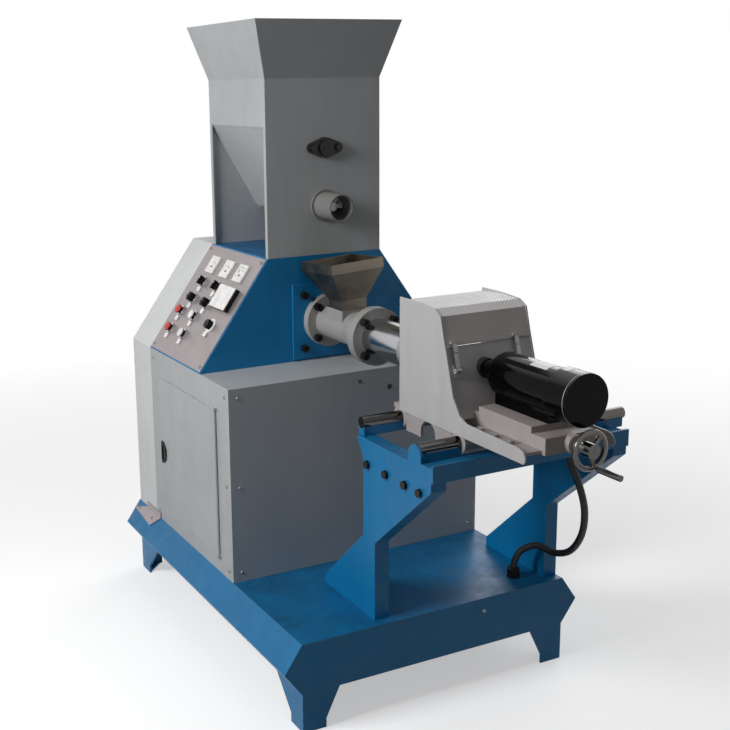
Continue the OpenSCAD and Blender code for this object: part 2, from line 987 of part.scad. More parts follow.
// Links next to a sprocket whose rollers its turning teeth would reach
wrap_n = sqrt(pow(tip_r + roller_r + play, 2) - pow(sprocket_r, 2)) / chain_pitch;

module sprocket(hub, bore, turn = 0) {
  translate([0, chain_y, 0])
    rotate([0, turn, 0])
      difference() {
        union() {
          rod_y(tip_r, -sprocket_t / 2, sprocket_t / 2);
          rod_y(hub, -sprocket_t / 2, sprocket_t * 2);
        }
        rod_y(bore, -sprocket_t, sprocket_t * 3);
        for (i = [0 : tooth_n - 1])
          rotate([0, (i + 1 / 2) * 360 / tooth_n, 0])
            rod_y(roller_r + gap, -sprocket_t, sprocket_t, sprocket_r);
      }
}

arm_r = 5;
arm_n = 5;
arm_from = 45;

module agitator() {
  color("lightgray")
    in_frame()
      translate([0, 0, stir_z]) {
        rod_y(stir_shaft_r, body_front - oval_hub_t - play, chain_y + 2 * sprocket_t);
        for (i = [0 : arm_n - 1])
          translate([0, body_front + arm_from + i * (hop_rear - body_front - 2 * arm_from) / (arm_n - 1), 0])
            rotate([0, 90 * (i % 2), 0])
              translate([0, 0, -stir_r])
                cylinder(r = arm_r, h = 2 * stir_r);
        sprocket(2 * stir_shaft_r, stir_shaft_r - over, 180);
      }
}

module feed_tube() {
  color("gainsboro")
    in_frame()
      translate([0, 0, auger_z])
        difference() {
          union() {
            rod_y(feed_r, body_front - feed_reach, body_front + sheet);
            rod_y(feed_r + 2 * sheet, body_front - 2 * sheet, body_front);
          }
          rod_y(feed_r - sheet, body_front - feed_reach - over, body_front + sheet + over);
        }
}

// Worms: a round core with one flight, wound as one closed skin
auger_core = 11;
auger_shaft_r = 9;
auger_r = 26;
auger_pitch = 50;
auger_t = 5;
gear_y = 850;

turn_steps = 12;

// Triangles of a tube of n steps whose rings have m points each, both ends closed
function skin(n, m) = concat(
  [for (k = [1 : m - 2]) [0, k, k + 1]],
  [for (k = [1 : m - 2]) [n * m, n * m + k + 1, n * m + k]],
  [for (i = [0 : n - 1], k = [0 : m - 1]) [i * m + k, (i + 1) * m + k, (i + 1) * m + (k + 1) % m]],
  [for (i = [0 : n - 1], k = [0 : m - 1]) [i * m + k, (i + 1) * m + (k + 1) % m, i * m + (k + 1) % m]]);

// Section of a worm: core points all round but for the flight, which stands at angle 0
function worm_section(r, core, share) = concat(
  [[core, 180]],
  [for (i = [1 : 5]) [core, i * (180 - 180 * share) / 5 - 180]],
  [[r, -120 * share], [r, 0], [r, 120 * share]],
  [for (i = [5 : -1 : 1]) [core, 180 - i * (180 - 180 * share) / 5]]);

module worm(r, core, length, pitch, t) {
  n = round(length / pitch * turn_steps);
  ring = worm_section(r, core, t / pitch);
  m = len(ring);
  polyhedron(
    points = [for (i = [0 : n], q = ring)
      let (a = q[1] - i * length / n / pitch * 360)
        [q[0] * cos(a), q[0] * sin(a), i * length / n]],
    faces = skin(n, m));
}

module feed_auger() {
  front = body_front - feed_reach / 2;
  rear = hop_rear - sheet - auger_t;
  color("lightgray")
    in_frame()
      translate([0, 0, auger_z]) {
        translate([0, front, 0])
          rotate([-90, 0, 0])
            worm(auger_r, auger_core, rear - front, auger_pitch, auger_t);
        rod_y(auger_shaft_r, rear - auger_t, gear_y + gear_bore_l);
        sprocket(2 * auger_core, auger_shaft_r - over);
      }
}

// Upright geared motor held by two arms on the rear wall
gear_bore_l = 40;
gear_half = 48;
gear_l = 90;
gear_h = 100;
small_motor_r = 44;
small_motor_l = 150;
arm_t = 6;
arm_h = 60;

module feed_gearmotor() {
  low = auger_z - gear_h / 2;
  color("dimgray")
    in_frame()
      difference() {
        union() {
          block(-gear_half, gear_half, gear_y, gear_y + gear_l, low, low + gear_h);
          translate([0, gear_y + gear_l / 2, low + gear_h])
            cylinder(r = small_motor_r, h = small_motor_l);
          translate([0, gear_y + gear_l / 2, low + gear_h + small_motor_l])
            cylinder(r = small_motor_r - arm_t, h = arm_t * 2);
          for (side = [0, 1])
            mirror([side, 0, 0]) {
              block(gear_half, gear_half + arm_t, hop_rear, gear_y + gear_l - arm_t,
                auger_z - arm_h / 2, auger_z + arm_h / 2);
              block(gear_half, gear_half + 5 * arm_t, hop_rear, hop_rear + arm_t,
                auger_z - arm_h / 2, auger_z + arm_h / 2);
            }
        }
        rod_y(auger_shaft_r + fit, gear_y - over, gear_y + gear_bore_l + over, 0, auger_z);
      }
}

// Closed roller chain: two side bands joined by the rollers of its straight runs
module chain_band(r) {
  front_cut(-side_t / 2, side_t / 2)
    difference() {
      chain_shape(r + side_w);
      chain_shape(r - side_w);
    }
}

module chain_shape(r) {
  circle(r = r);
  translate([0, stir_z - auger_z])
    circle(r = r);
  translate([-r, 0])
    square([2 * r, stir_z - auger_z]);
}

module feed_chain() {
  half = sprocket_t / 2 + play + side_t / 2;
  color("dimgray")
    in_frame()
      translate([0, chain_y, auger_z]) {
        for (side = [-1, 1])
          translate([0, side * half, 0])
            chain_band(sprocket_r);
        for (side = [-1, 1], i = [ceil(wrap_n) : floor(run_link_n - wrap_n)])
          rod_y(roller_r, -half, half, side * sprocket_r, i * chain_pitch);
      }
}

// Barrel group on the extruder axis
plate_bolt_x = 62;
plate_bolt_z = 64;
head_h = 12;
bolt_angle = 45;
nut_front = 85;
nut_wall = 1.5;
lip_r = 32.8;
plate_face = 84;
spigot_r = 37;
screw_r1 = 30.8;
core_r = 18;
screw_pitch = 48;
flight_t = 8;
shaft_front = 470;
inlet_front = 346;
inlet_rear = 422;
inlet_half = 36;
inlet_wall = 10;
inlet_top = 785;
set_y = 434;

module plate_bolt_places() {
  for (x = [-plate_bolt_x, plate_bolt_x], z = [-plate_bolt_z, plate_bolt_z])
    translate([x, 0, axis_z + z])
      children();
}

module ring_places() {
  translate([0, 0, axis_z])
    for (a = [0 : 90 : 270])
      rotate([0, bolt_angle + a, 0])
        translate([bolt_circle, 0, 0])
          children();
}

module mount_plate() {
  color("steelblue")
    in_frame()
      difference() {
        block(-mount_w / 2, mount_w / 2, body_front - plate, body_front,
          axis_z - mount_w / 2, axis_z + mount_w / 2);
        rod_y(main_r + play, body_front - plate - over, body_front + over, 0, axis_z);
        plate_bolt_places()
          rod_y(bolt_r + gap, body_front - plate - over, body_front + over);
        ring_places()
          rod_y(bolt_r + gap, body_front - plate - over, body_front + over);
      }
}

module barrel() {
  rear = body_front - plate;
  color("gainsboro")
    in_frame()
      difference() {
        union() {
          rod_y(barrel_r, joint_y, rear, 0, axis_z);
          rod_y(flange_r1, rear - rear_flange_t, rear, 0, axis_z);
          rod_y(flange_r2, joint_y, joint_y + flange_t, 0, axis_z);
          block(-inlet_half, inlet_half, inlet_front, inlet_rear, axis_z, inlet_top);
        }
        rod_y(bore_r, joint_y - over, rear + over, 0, axis_z);
        block(-inlet_half + inlet_wall, inlet_half - inlet_wall, inlet_front + inlet_wall,
          inlet_rear - inlet_wall, axis_z, inlet_top + over);
        ring_places() {
          rod_y(bolt_r + gap, rear - rear_flange_t - over, rear + over);
          rod_y(bolt_r + gap, joint_y - over, joint_y + flange_t + over);
        }
        translate([0, set_y, axis_z + bore_r - over])
          cylinder(r = bolt_r + gap, h = barrel_r);
      }
}

// Socket head screw along +Y with its head in front of y = 0
module socket_screw(l) {
  difference() {
    rod_y(bolt_head_r, -head_h, 0);
    rotate([90, 0, 0])
      cylinder(r = bolt_r * 2 / 3, h = head_h + over, $fn = 6);
  }
  rod_y(bolt_r, -head_h / 2, l);
}

hex_t = 7;
hex_bolt_z = 528;
hex_bolt_y = [-141, -89, -20, 51];
front_bolts = [[0, 620, 4], [80, 598, 6.5]];

module machine_bolts() {
  color("black")
    in_frame() {
      plate_bolt_places()
        translate([0, body_front - plate, 0])
          socket_screw(head_h + plate);
      ring_places()
        translate([0, body_front - plate - rear_flange_t, 0])
          socket_screw(rear_flange_t + plate - gap);
      ring_places()
        translate([0, joint_y - flange_t, 0])
          socket_screw(2 * flange_t);
      ring_places()
        rod_y(bolt_head_r, joint_y + flange_t, joint_y + flange_t + hex_t);
      translate([0, set_y, axis_z + barrel_r + gap - hex_t])
        cylinder(r = bolt_r, h = 2 * hex_t);
      for (y = hex_bolt_y) {
        translate([-stand_left - hex_t, y, hex_bolt_z])
          rotate([0, 90, 0])
            cylinder(r = bolt_head_r, h = hex_t, $fn = 6);
        rod_x(bolt_r, -stand_left - over, -stand_left + 2 * hex_t, y, hex_bolt_z);
      }
      for (bolt = front_bolts)
        translate([bolt[0], cab_front, bolt[1]])
          rotate([90, 0, 0])
            domed_screw(bolt[2]);
    }
}

module head_tube() {
  color("lightgray")
    in_frame()
      difference() {
        union() {
          rod_y(flange_r2, joint_y - flange_t, joint_y, 0, axis_z);
          rod_y(tube_r, tube_end, joint_y, 0, axis_z);
          rod_y(spigot_r, nut_rear - 2 * flange_lip, tube_end + over, 0, axis_z);
        }
        rod_y(bore_r, nut_front, joint_y + over, 0, axis_z);
        ring_places()
          rod_y(bolt_r + gap, joint_y - flange_t - over, joint_y + over);
      }
}

flange_lip = 3;
nut_rear = tube_end;
die_rear = nut_rear - 2 * flange_lip;
die_hole = 1.5;
die_hole_n = [8, 14];
die_hole_share = [0.45, 0.8];

module die_plate() {
  color("dimgray")
    in_frame()
      difference() {
        union() {
          rod_y(lip_r - gap, plate_face, die_rear, 0, axis_z);
          rod_y(spigot_r - gap, nut_front + flange_lip, die_rear, 0, axis_z);
        }
        translate([0, 0, axis_z])
          for (ring = [0, 1], i = [0 : die_hole_n[ring] - 1])
            rotate([0, i * 360 / die_hole_n[ring], 0])
              rod_y(die_hole, plate_face - over, die_rear + over,
                bore_r * die_hole_share[ring]);
      }
}

module die_nut() {
  color("gray")
    in_frame()
      difference() {
        rod_y(tube_r + nut_wall, nut_front, nut_rear, 0, axis_z);
        rod_y(lip_r, nut_front - over, nut_rear + over, 0, axis_z);
        rod_y(spigot_r + 2 * fit, nut_front + flange_lip, nut_rear + over, 0, axis_z);
      }
}

module extruder_screw() {
  front = die_rear + play;
  color("lightgray")
    in_frame()
      translate([0, front, axis_z])
        rotate([-90, 0, 0]) {
          cylinder(r1 = core_r / 2, r2 = core_r - 2 * over, h = flight_t + over);
          translate([0, 0, flight_t])
            worm(screw_r1, core_r, shaft_front - front - flight_t, screw_pitch, flight_t);
        }
}

// Funnel on the barrel: flange, throat, and a lopsided flare and rim that lean a little
throat_half = 31;
throat_front = 352;
throat_rear = 416;
throat_top = 806;
rim_left = -62;
rim_right = 72;
rim_front = 330;
rim_rear = 480;
rim_low = 872;
rim_top = 894;
rim_angle = 4;

module leaning() {
  middle = (throat_front + throat_rear) / 2;
  translate([0, middle, throat_top])
    rotate([-rim_angle, -rim_angle, 0])
      translate([0, -middle, -throat_top])
        children();
}

module funnel_flare(d) {
  intersection() {
    front_cut(rim_front - sheet, rim_rear + sheet)
      polygon([[-throat_half + d, throat_top], [throat_half - d, throat_top], [rim_right - d, rim_low],
        [rim_left + d, rim_low]]);
    side_cut(rim_left - sheet, rim_right + sheet)
      polygon([[throat_front + d, throat_top], [throat_rear - d, throat_top], [rim_rear - d, rim_low],
        [rim_front + d, rim_low]]);
  }
}

module inlet_funnel() {
  color("lightgray")
    in_frame()
      difference() {
        union() {
          block(-inlet_half, inlet_half, inlet_front, inlet_rear, inlet_top, inlet_top + sheet);
          block(-throat_half, throat_half, throat_front, throat_rear, inlet_top, throat_top + 2 * sheet);
          leaning() {
            funnel_flare(0);
            block(rim_left, rim_right, rim_front, rim_rear, rim_low, rim_top);
          }
        }
        block(-throat_half + sheet, throat_half - sheet, throat_front + sheet, throat_rear - sheet,
          inlet_top - over, throat_top + 2 * sheet + over);
        leaning() {
          funnel_flare(sheet);
          block(rim_left + sheet, rim_right - sheet, rim_front + sheet, rim_rear - sheet,
            rim_low - over, rim_top + over);
        }
      }
}

// Stand of the cutter
right_ped = base_w / 2;
waist_low = 365;
waist_high = 538;
knee_y = 70;
knee_high = 541;
knee_low = 369;
foot_rise = 20;
ped_rear = 96;
bend_rear = ped_front + ped_foot;
ped_points = [[ped_front, base_top], [bend_rear, base_top], [bend_rear, base_top + foot_rise],
  [knee_y, knee_low], [knee_y, knee_high], [ped_rear, ped_top], [-ped_reach, ped_top],
  [-ped_reach, waist_high], [ped_front, waist_low]];
ear_y = -rail_front;
ear_z = 596;
ear_r = 22;
ear_t = 6;
rail_ends = [-stand_left + ear_t, 366];
rail_y = [-rail_front, rail_gap - rail_front];
seat_w = 22;
seat_top = 600;
seat_end = 360;

module pedestals() {
  color("steelblue")
    in_frame() {
      for (x = [-stand_left, right_ped - ped_t])
        difference() {
          side_cut(x, x + ped_t)
            polygon(ped_points);
          side_cut(x + sheet, x + ped_t - sheet)
            polygon(inset(ped_points, sheet));
          block(x + sheet, x + ped_t - sheet, ped_front + sheet, bend_rear - sheet,
            base_top - over, base_top + sheet + over);
          if (x < 0)
            for (y = hex_bolt_y)
              rod_x(bolt_r + gap, x - over, x + sheet + over, y, hex_bolt_z);
        }
      side_cut(-stand_left, -stand_left + ear_t) {
        translate([ear_y, ear_z])
          circle(r = ear_r);
        translate([ear_y - ear_r, ped_top - over])
          square([2 * ear_r, ear_z - ped_top + over]);
      }
    }
}

beam_low = 557;
beam_high = 592;
beam_t = 6;
beam_lip = ped_reach - rail_front - ear_r - gap;

module cross_beam() {
  color("steelblue")
    in_frame() {
      block(-stand_left, right_ped, -ped_reach - beam_t, -ped_reach, beam_low, beam_high);
      block(-stand_left, right_ped, -ped_reach - over, -ped_reach + beam_lip, ped_top, ped_top + beam_t);
      difference() {
        for (y = rail_y)
          block(-stand_left + ear_t, seat_end, y - seat_w / 2, y + seat_w / 2, ped_top, seat_top);
        for (y = rail_y)
          rod_x(rail_r + fit, -stand_left, rail_ends[1], y, rail_z);
      }
    }
}

module slide_rails() {
  color("lightgray")
    in_frame()
      for (y = rail_y)
        rod_x(rail_r, rail_ends[0], rail_ends[1], y, rail_z);
}

// Carriage on the two rails; its middle is the cutter axis
bush_r = 24;
bush_w = 196;
bush_slot = 24;
end_t = 6;
end_low = 582;
end_front = -97;
end_rear = 62;
arch_r = 26;
slide_low = 632;
slide_top = 664;
slide_rear = -75;
ridge_w = 60;
ridge_top = 640;
ridge_front = -190;
nut_half = 12;
nut_t = 12;
lead_r = 8;

module carriage() {
  x0 = cutter_x - bush_w / 2;
  x1 = cutter_x + bush_w / 2;
  pad_low = rail_z + rail_r + sheet;
  pad_top = slide_low - gap;
  color("rosybrown")
    in_frame() {
      difference() {
        union()
          for (y = rail_y) {
            rod_x(bush_r, x0, x1, y, rail_z);
            block(x0, x1, y - bush_r, y + bush_r, pad_low, pad_top);
          }
        for (y = rail_y) {
          rod_x(rail_r + fit, x0 - over, x1 + over, y, rail_z);
          block(x0 - over, x1 + over, y - bush_slot / 2, y + bush_slot / 2,
            rail_z - 2 * bush_r, rail_z);
        }
      }
      for (x = [x0, x1 - end_t])
        difference() {
          block(x, x + end_t, rail_y[0] + bush_r - over, rail_y[1] - bush_r + over, end_low, pad_top);
          side_cut(x - over, x + end_t + over) {
            translate([(end_front + end_rear) / 2, end_low + arch_r / 2])
              circle(r = arch_r);
            translate([(end_front + end_rear) / 2 - arch_r, end_low - over])
              square([2 * arch_r, arch_r / 2 + over]);
          }
        }
      block(cutter_x - ridge_w / 2, cutter_x + ridge_w / 2, ridge_front, end_front, pad_low, ridge_top);
      difference() {
        block(cutter_x - nut_half, cutter_x + nut_half, ridge_front, ridge_front + nut_t,
          ridge_top - over, screw_z + nut_half);
        rod_y(lead_r + fit, ridge_front - over, ridge_front + nut_t + over, cutter_x, screw_z);
      }
    }
}

// Slide block, cross plate, front boss, motor pad and bolt heads in one casting
slide_half = 58;
cross_half = 101;
cross_front = -320;
cross_rear = -150;
cross_t = 6;
motor_pad_front = -290;
motor_pad_rear = -132;
motor_pad_top = 676;
hex_y = [-170, -215, -260];
hex_x = 82;
plate_lift = 2;

module cross_slide() {
  color("rosybrown")
    in_frame()
      difference() {
        union() {
          block(cutter_x - slide_half, cutter_x + slide_half, slide_front, slide_rear,
            slide_low, slide_top);
          block(cutter_x - cross_half, cutter_x + cross_half, cross_front, cross_rear,
            slide_low + plate_lift, slide_low + plate_lift + cross_t);
          rod_y(boss_r, slide_front - boss_l, slide_front + over, cutter_x, screw_z);
          block(cutter_x - slide_half, cutter_x + slide_half, motor_pad_front, motor_pad_rear,
            slide_top - over, motor_pad_top);
          for (y = hex_y, side = [-1, 1])
            translate([cutter_x + side * hex_x, y, slide_low + cross_t])
              cylinder(r = bolt_head_r, h = hex_t + plate_lift, $fn = 6);
        }
        block(cutter_x - ridge_w / 2 - gap, cutter_x + ridge_w / 2 + gap, slide_front + 2 * boss_r,
          slide_rear + over, slide_low - over, ridge_top + gap);
        block(cutter_x - nut_half - gap, cutter_x + nut_half + gap, ridge_front - nut_t / 2,
          slide_rear + over, ridge_top, screw_z + nut_half + gap);
        rod_y(lead_r + fit, slide_front - boss_l - over, slide_front + boss_l, cutter_x, screw_z);
        rod_y(lead_r + gap, slide_front, ridge_front, cutter_x, screw_z);
      }
}

lead_end = -85;

module lead_screw() {
  color("lightgray")
    in_frame() {
      rod_y(lead_r, wheel_rear - wheel_hub_t / 2, lead_end, cutter_x, screw_z);
      rod_y(lead_r + sheet, slide_front - boss_l - sheet - gap, slide_front - boss_l - gap,
        cutter_x, screw_z);
    }
}

rim_r = 5;
spoke_r = 4;
wheel_hub_r = 14;
axle_r = 3;
grip_angle = 75;
grip_r = 6;

module at_grip() {
  translate([cutter_x + wheel_r * cos(grip_angle), 0, screw_z - wheel_r * sin(grip_angle)])
    children();
}

module handwheel() {
  mid = wheel_rear - wheel_hub_t / 2;
  color("silver")
    in_frame() {
      difference() {
        union() {
          translate([cutter_x, mid, screw_z]) {
            rotate([90, 10, 0])
              rotate_extrude()
                translate([wheel_r, 0])
                  circle(r = rim_r, $fn = 24);
            for (a = [0 : 120 : 240])
              rotate([0, grip_angle - 90 + a, 0])
                rotate([180, 0, 0])
                  cylinder(r = spoke_r, h = wheel_r - rim_r / 2);
          }
          rod_y(wheel_hub_r, wheel_rear - wheel_hub_t, wheel_rear, cutter_x, screw_z);
        }
        rod_y(lead_r, mid, wheel_rear + over, cutter_x, screw_z);
      }
      at_grip()
        rod_y(axle_r, grip_end + 2 * axle_r, mid - rim_r / 2);
    }
}

module crank_grip() {
  color("silver")
    in_frame()
      at_grip()
        difference() {
          union() {
            rod_y(grip_r, grip_end, grip_end + grip_l - sheet);
            rod_y(grip_r - over, grip_end, grip_end + grip_l - over);
          }
          rod_y(axle_r + fit, grip_end + 2 * axle_r - gap, grip_end + grip_l + over);
        }
}

// Cutter housing: two sides, a lower front sheet, two fixed latch plates
house_rear = 80;
house_half = house_w / 2;
seam_y = -80;
mid_y = -109;
mid_z = 692;
skirt_y = -120;
skirt_z = 650;
crown_y = 12;
brow_y = -44;
brow_drop = 4;
nose_y = -66;
nose_drop = 16;
neck_in = 2;
neck_rise = 15;
toe_y = -112;
heel_y = -134;
heel_z = 662;
arm_y = -156;
arm_rear_z = 653;
arm_tip_y = -312;
arm_tip_z = 650;
arm_end = -332;
arm_round = 6;
arm_low_z = 630;
side_points = [[house_rear, house_low], [house_rear, house_top], [crown_y, house_top],
  [brow_y, house_top - brow_drop], [nose_y, house_top - nose_drop],
  [seam_y + neck_in, seam_z + neck_rise], [toe_y, mid_z], [heel_y, heel_z], [arm_y, arm_rear_z],
  [arm_tip_y, arm_tip_z], [arm_end + arm_round, arm_tip_z - plate], [arm_end, arm_low_z + arm_round],
  [arm_end, arm_low_z], [arm_end + plate, house_low]];
lid_pin_y = 70;
lid_pin_drop = 10;
lid_pin_z = house_top - lid_pin_drop;
lid_roll = 5;
lid_pin = 3;
hub_hole = 20;
latch_x = [-33, 115];
latch_w = 16;
latch_lean = atan2(seam_y - mid_y, seam_z - mid_z);
latch_pivot = 48;
latch_out = 7;
latch_pin = 2;
latch_base = 24;
latch_lug = 3;
keeper_h = 5;

// Places on the front sheet: z runs up to the seam, y runs into the sheet
module on_front(x) {
  translate([x, seam_y, seam_z])
    rotate([-latch_lean, 0, 0])
      children();
}

module latch_plate() {
  difference() {
    union() {
      block(-latch_w / 2, latch_w / 2, -sheet, gap, -latch_pivot - latch_base / 2,
        -latch_pivot + latch_base / 2);
      for (x = [-latch_w / 2, latch_w / 2 - latch_lug])
        block(x, x + latch_lug, -latch_out - 2 * latch_pin, gap, -latch_pivot - 2 * latch_pin,
          -latch_pivot + 2 * latch_pin);
    }
    rod_x(latch_pin + fit, -latch_w, latch_w, -latch_out, -latch_pivot);
  }
}

module cutter_housing() {
  color("gainsboro")
    in_frame() {
      difference() {
        union() {
          for (x = [cutter_x - house_half, cutter_x + house_half - sheet])
            side_cut(x, x + sheet)
              polygon(side_points);
          side_cut(cutter_x - house_half + sheet - fit, cutter_x + house_half - sheet + fit)
            polygon(strip([[seam_y, seam_z], [mid_y, mid_z], [skirt_y, skirt_z]], sheet));
        }
        rod_x(lid_pin + fit, cutter_x - house_w, cutter_x + house_w, lid_pin_y, lid_pin_z);
        rod_y(hub_hole, skirt_y - hub_hole, house_rear - over, shaft_x, axis_z);
        block(cutter_x - slide_half - gap, cutter_x + slide_half + gap, arm_end, house_rear - over,
          skirt_z - over, slide_top + gap);
      }
      for (x = latch_x)
        on_front(x)
          latch_plate();
    }
}

lid_points = [[lid_pin_y, lid_pin_z + lid_roll], [crown_y, house_top - over],
  [brow_y + over, house_top - brow_drop - over], [nose_y + 2 * over, house_top - nose_drop - over],
  [seam_y - sheet / 2, seam_z + 4 * gap]];

module housing_lid() {
  x0 = cutter_x - house_half + sheet + play;
  x1 = cutter_x + house_half - sheet - play;
  color("gainsboro")
    in_frame() {
      side_cut(x0, x1)
        polygon(strip(lid_points, sheet * 4 / 5));
      rod_x(lid_roll, x0, x1, lid_pin_y, lid_pin_z);
      rod_x(lid_pin, x0 - play - sheet, x1 + play + sheet, lid_pin_y, lid_pin_z);
      for (x = latch_x)
        on_front(x)
          block(-latch_w / 3, latch_w / 3, -keeper_h, 0, keeper_h, 2 * keeper_h + gap);
    }
}

// Latch lever: hinge pin below, arm up to the keeper, finger pull near its top
module latch(x) {
  in_half = latch_w / 2 - latch_lug - gap;
  in_frame()
    on_front(x) {
      rod_x(latch_pin, -latch_w / 2, latch_w / 2, -latch_out, -latch_pivot);
      rod_x(2 * latch_pin, -in_half, in_half, -latch_out, -latch_pivot);
      block(-in_half, in_half, -latch_out - latch_pin, -latch_out, -latch_pivot, keeper_h - play);
      block(-in_half, in_half, -latch_out, -keeper_h - gap, keeper_h - play - latch_pin, keeper_h - play);
      rod_x(latch_pin, -in_half, in_half, -latch_out - latch_pin, -latch_base / 2);
    }
}

module latch_left() {
  color("gray") latch(latch_x[0]);
}

module latch_right() {
  color("gray") latch(latch_x[1]);
}

// Cutter motor with its foot, and its shaft and four knives, which lie off the motor's axis
motor_face = -122;
snout_r = 17;
snout_l = 20;
motor_side = 25;
motor_drop = 8;
shield_l = 8;
foot_half = 28;
cut_shaft_r = 8;
cut_bore_l = 40;
hub_front = 60;
hub_rear = 80;
cut_hub_r = 18;
knife_w = 22;
knife_t = 2.6;
knife_root = 12;
knife_n = 4;

module cutter_motor() {
  tail = motor_face - motor_l;
  x = shaft_x + motor_side;
  z = axis_z - motor_drop;
  color("black")
    in_frame()
      difference() {
        union() {
          rod_y(snout_r, motor_face - over, motor_face + snout_l, shaft_x, axis_z);
          rod_y(motor_r - shield_l / 2, motor_face - shield_l - over, motor_face, x, z);
          rod_y(motor_r, tail, motor_face - shield_l, x, z);
          rod_y(cap_r, tail - cap_l, tail, x, z);
          rod_y(motor_r + over, tail, tail + 2 * plate, x, z);
          block(x - foot_half, x + foot_half, motor_pad_front, motor_pad_rear, motor_pad_top, z);
        }
        rod_y(cut_shaft_r + fit, motor_face - cut_bore_l - gap, motor_face + snout_l + over,
          shaft_x, axis_z);
      }
}

module knife_shaft() {
  color("lightgray")
    in_frame() {
      rod_y(cut_shaft_r, motor_face - cut_bore_l, hub_rear + knife_t, shaft_x, axis_z);
      rod_y(cut_hub_r, hub_front, hub_rear, shaft_x, axis_z);
    }
}

module knife_blades() {
  bevel = knife_w / 4;
  color("silver")
    in_frame()
      translate([shaft_x, hub_rear, axis_z])
        for (i = [0 : knife_n - 1])
          rotate([0, bolt_angle + i * 360 / knife_n, 0])
            translate([knife_root, 0, 0])
              rotate([90, 0, 90])
                linear_extrude(height = knife_r - knife_root)
                  polygon([[0, -knife_w / 2 + bevel], [knife_t, -knife_w / 2],
                    [knife_t, knife_w / 2], [0, knife_w / 2]]);
}

// Hose between two glands, along points read from the photo
hose_r = 7.5;
gland_r = 14;
hose_points = [[200, -157, 556], [204, -160, 530], [222, -165, 485], [252, -150, 420], [278, -115, 350],
  [288, -70, 295], [286, -20, 272], [276, 25, 275], [256, 52, 258], [244, 60, 235], [240, 61, 215]];
hose_sides = 10;
hose_steps = 5;
hose_side = [0.2, -0.6, -0.1];

// Smooth curve through the points
function hose_at(i, u) = let (n = len(hose_points) - 1, a = hose_points[max(i - 1, 0)],
  b = hose_points[i], c = hose_points[i + 1], d = hose_points[min(i + 2, n)])
  b + u * (c - a) / 2 + u * u * (a - 2.5 * b + 2 * c - d / 2) + u * u * u * (1.5 * b - a / 2 - 1.5 * c + d / 2);
hose_path = concat([for (i = [0 : len(hose_points) - 2], k = [0 : hose_steps - 1]) hose_at(i, k / hose_steps)],
  [hose_points[len(hose_points) - 1]]);
hose_n = len(hose_path);
function hose_dir(i) = i == 0 || i == hose_n - 1 ? [0, 0, -1] : unit(hose_path[i + 1] - hose_path[i - 1]);

module conduit() {
  side = [for (i = [0 : hose_n - 1]) unit(cross(hose_dir(i), hose_side))];
  color("black")
    in_frame()
      polyhedron(
        points = [for (i = [0 : hose_n - 1], k = [0 : hose_sides - 1])
          let (a = k * 360 / hose_sides)
            hose_path[i] + hose_r * (cos(a) * side[i] + sin(a) * cross(hose_dir(i), side[i]))],
        faces = skin(hose_n - 1, hose_sides));
}

module conduit_glands() {
  first = hose_points[0];
  last = hose_points[len(hose_points) - 1];
  color("black")
    in_frame() {
      translate([first[0], first[1], first[2]])
        cylinder(r = gland_r, h = ped_top - first[2]);
      translate([last[0], last[1], base_top])
        cylinder(r = gland_r, h = last[2] - base_top);
    }
}

base_frame();
rear_bracket();
cabinet_shell();
cabinet_door();
door_handle();
sheet_screws();
main_motor();
motor_pulley();
drive_belts();
belt_guard();
large_pulley();
main_shaft();
bearing_housing();
upper_body();
control_panel();
meters_and_labels();
speed_drive();
switch_bases();
selector_left();
selector_right();
star_knob_left();
star_knob_right();
speed_knob();
stop_button_upper();
start_button_upper();
stop_button_lower();
start_button_lower();
hopper_body();
hopper_chute();
flange_bearings();
agitator();
feed_tube();
feed_auger();
feed_gearmotor();
feed_chain();
mount_plate();
barrel();
machine_bolts();
head_tube();
die_plate();
die_nut();
extruder_screw();
inlet_funnel();
pedestals();
cross_beam();
slide_rails();
carriage();
cross_slide();
lead_screw();
handwheel();
crank_grip();
cutter_housing();
housing_lid();
latch_left();
latch_right();
cutter_motor();
knife_shaft();
knife_blades();
conduit();
conduit_glands();
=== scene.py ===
# Looks for a small floating fish feed extruder: hose, finishes, dials, labels, camera and light.
import json
import math
import bmesh
import bpy
from mathutils import Matrix, Vector


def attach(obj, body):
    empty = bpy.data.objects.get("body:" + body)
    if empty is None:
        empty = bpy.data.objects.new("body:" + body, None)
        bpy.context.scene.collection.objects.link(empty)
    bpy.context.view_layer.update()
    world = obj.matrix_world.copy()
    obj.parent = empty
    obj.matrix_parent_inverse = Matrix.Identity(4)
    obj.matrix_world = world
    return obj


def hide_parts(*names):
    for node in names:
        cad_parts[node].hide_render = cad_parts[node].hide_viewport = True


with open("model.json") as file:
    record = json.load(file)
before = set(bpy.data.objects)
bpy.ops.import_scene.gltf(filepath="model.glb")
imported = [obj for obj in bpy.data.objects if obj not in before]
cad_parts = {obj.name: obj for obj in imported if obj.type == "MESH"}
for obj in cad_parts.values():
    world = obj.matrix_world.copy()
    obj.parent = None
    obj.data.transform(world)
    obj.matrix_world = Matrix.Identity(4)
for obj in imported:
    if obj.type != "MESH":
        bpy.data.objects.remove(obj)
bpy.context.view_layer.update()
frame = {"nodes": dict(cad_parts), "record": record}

nodes = frame["nodes"]
mm = 0.001
middleY = 250 * mm  # places along Y start at the base front plate, this far from the machine's middle

camera = {
    "place": (-1.2856, -2.1122, 1.2867),  # metres
    "turn": 26.4,  # degrees to the right of straight ahead
    "tilt": -12.4,
    "roll": -1.1,
    "lens": 56.33,
    "sensor": 36,  # width in mm
    "shift": (0.1137, -0.0389),
    "clip": (0.05, 60),
}


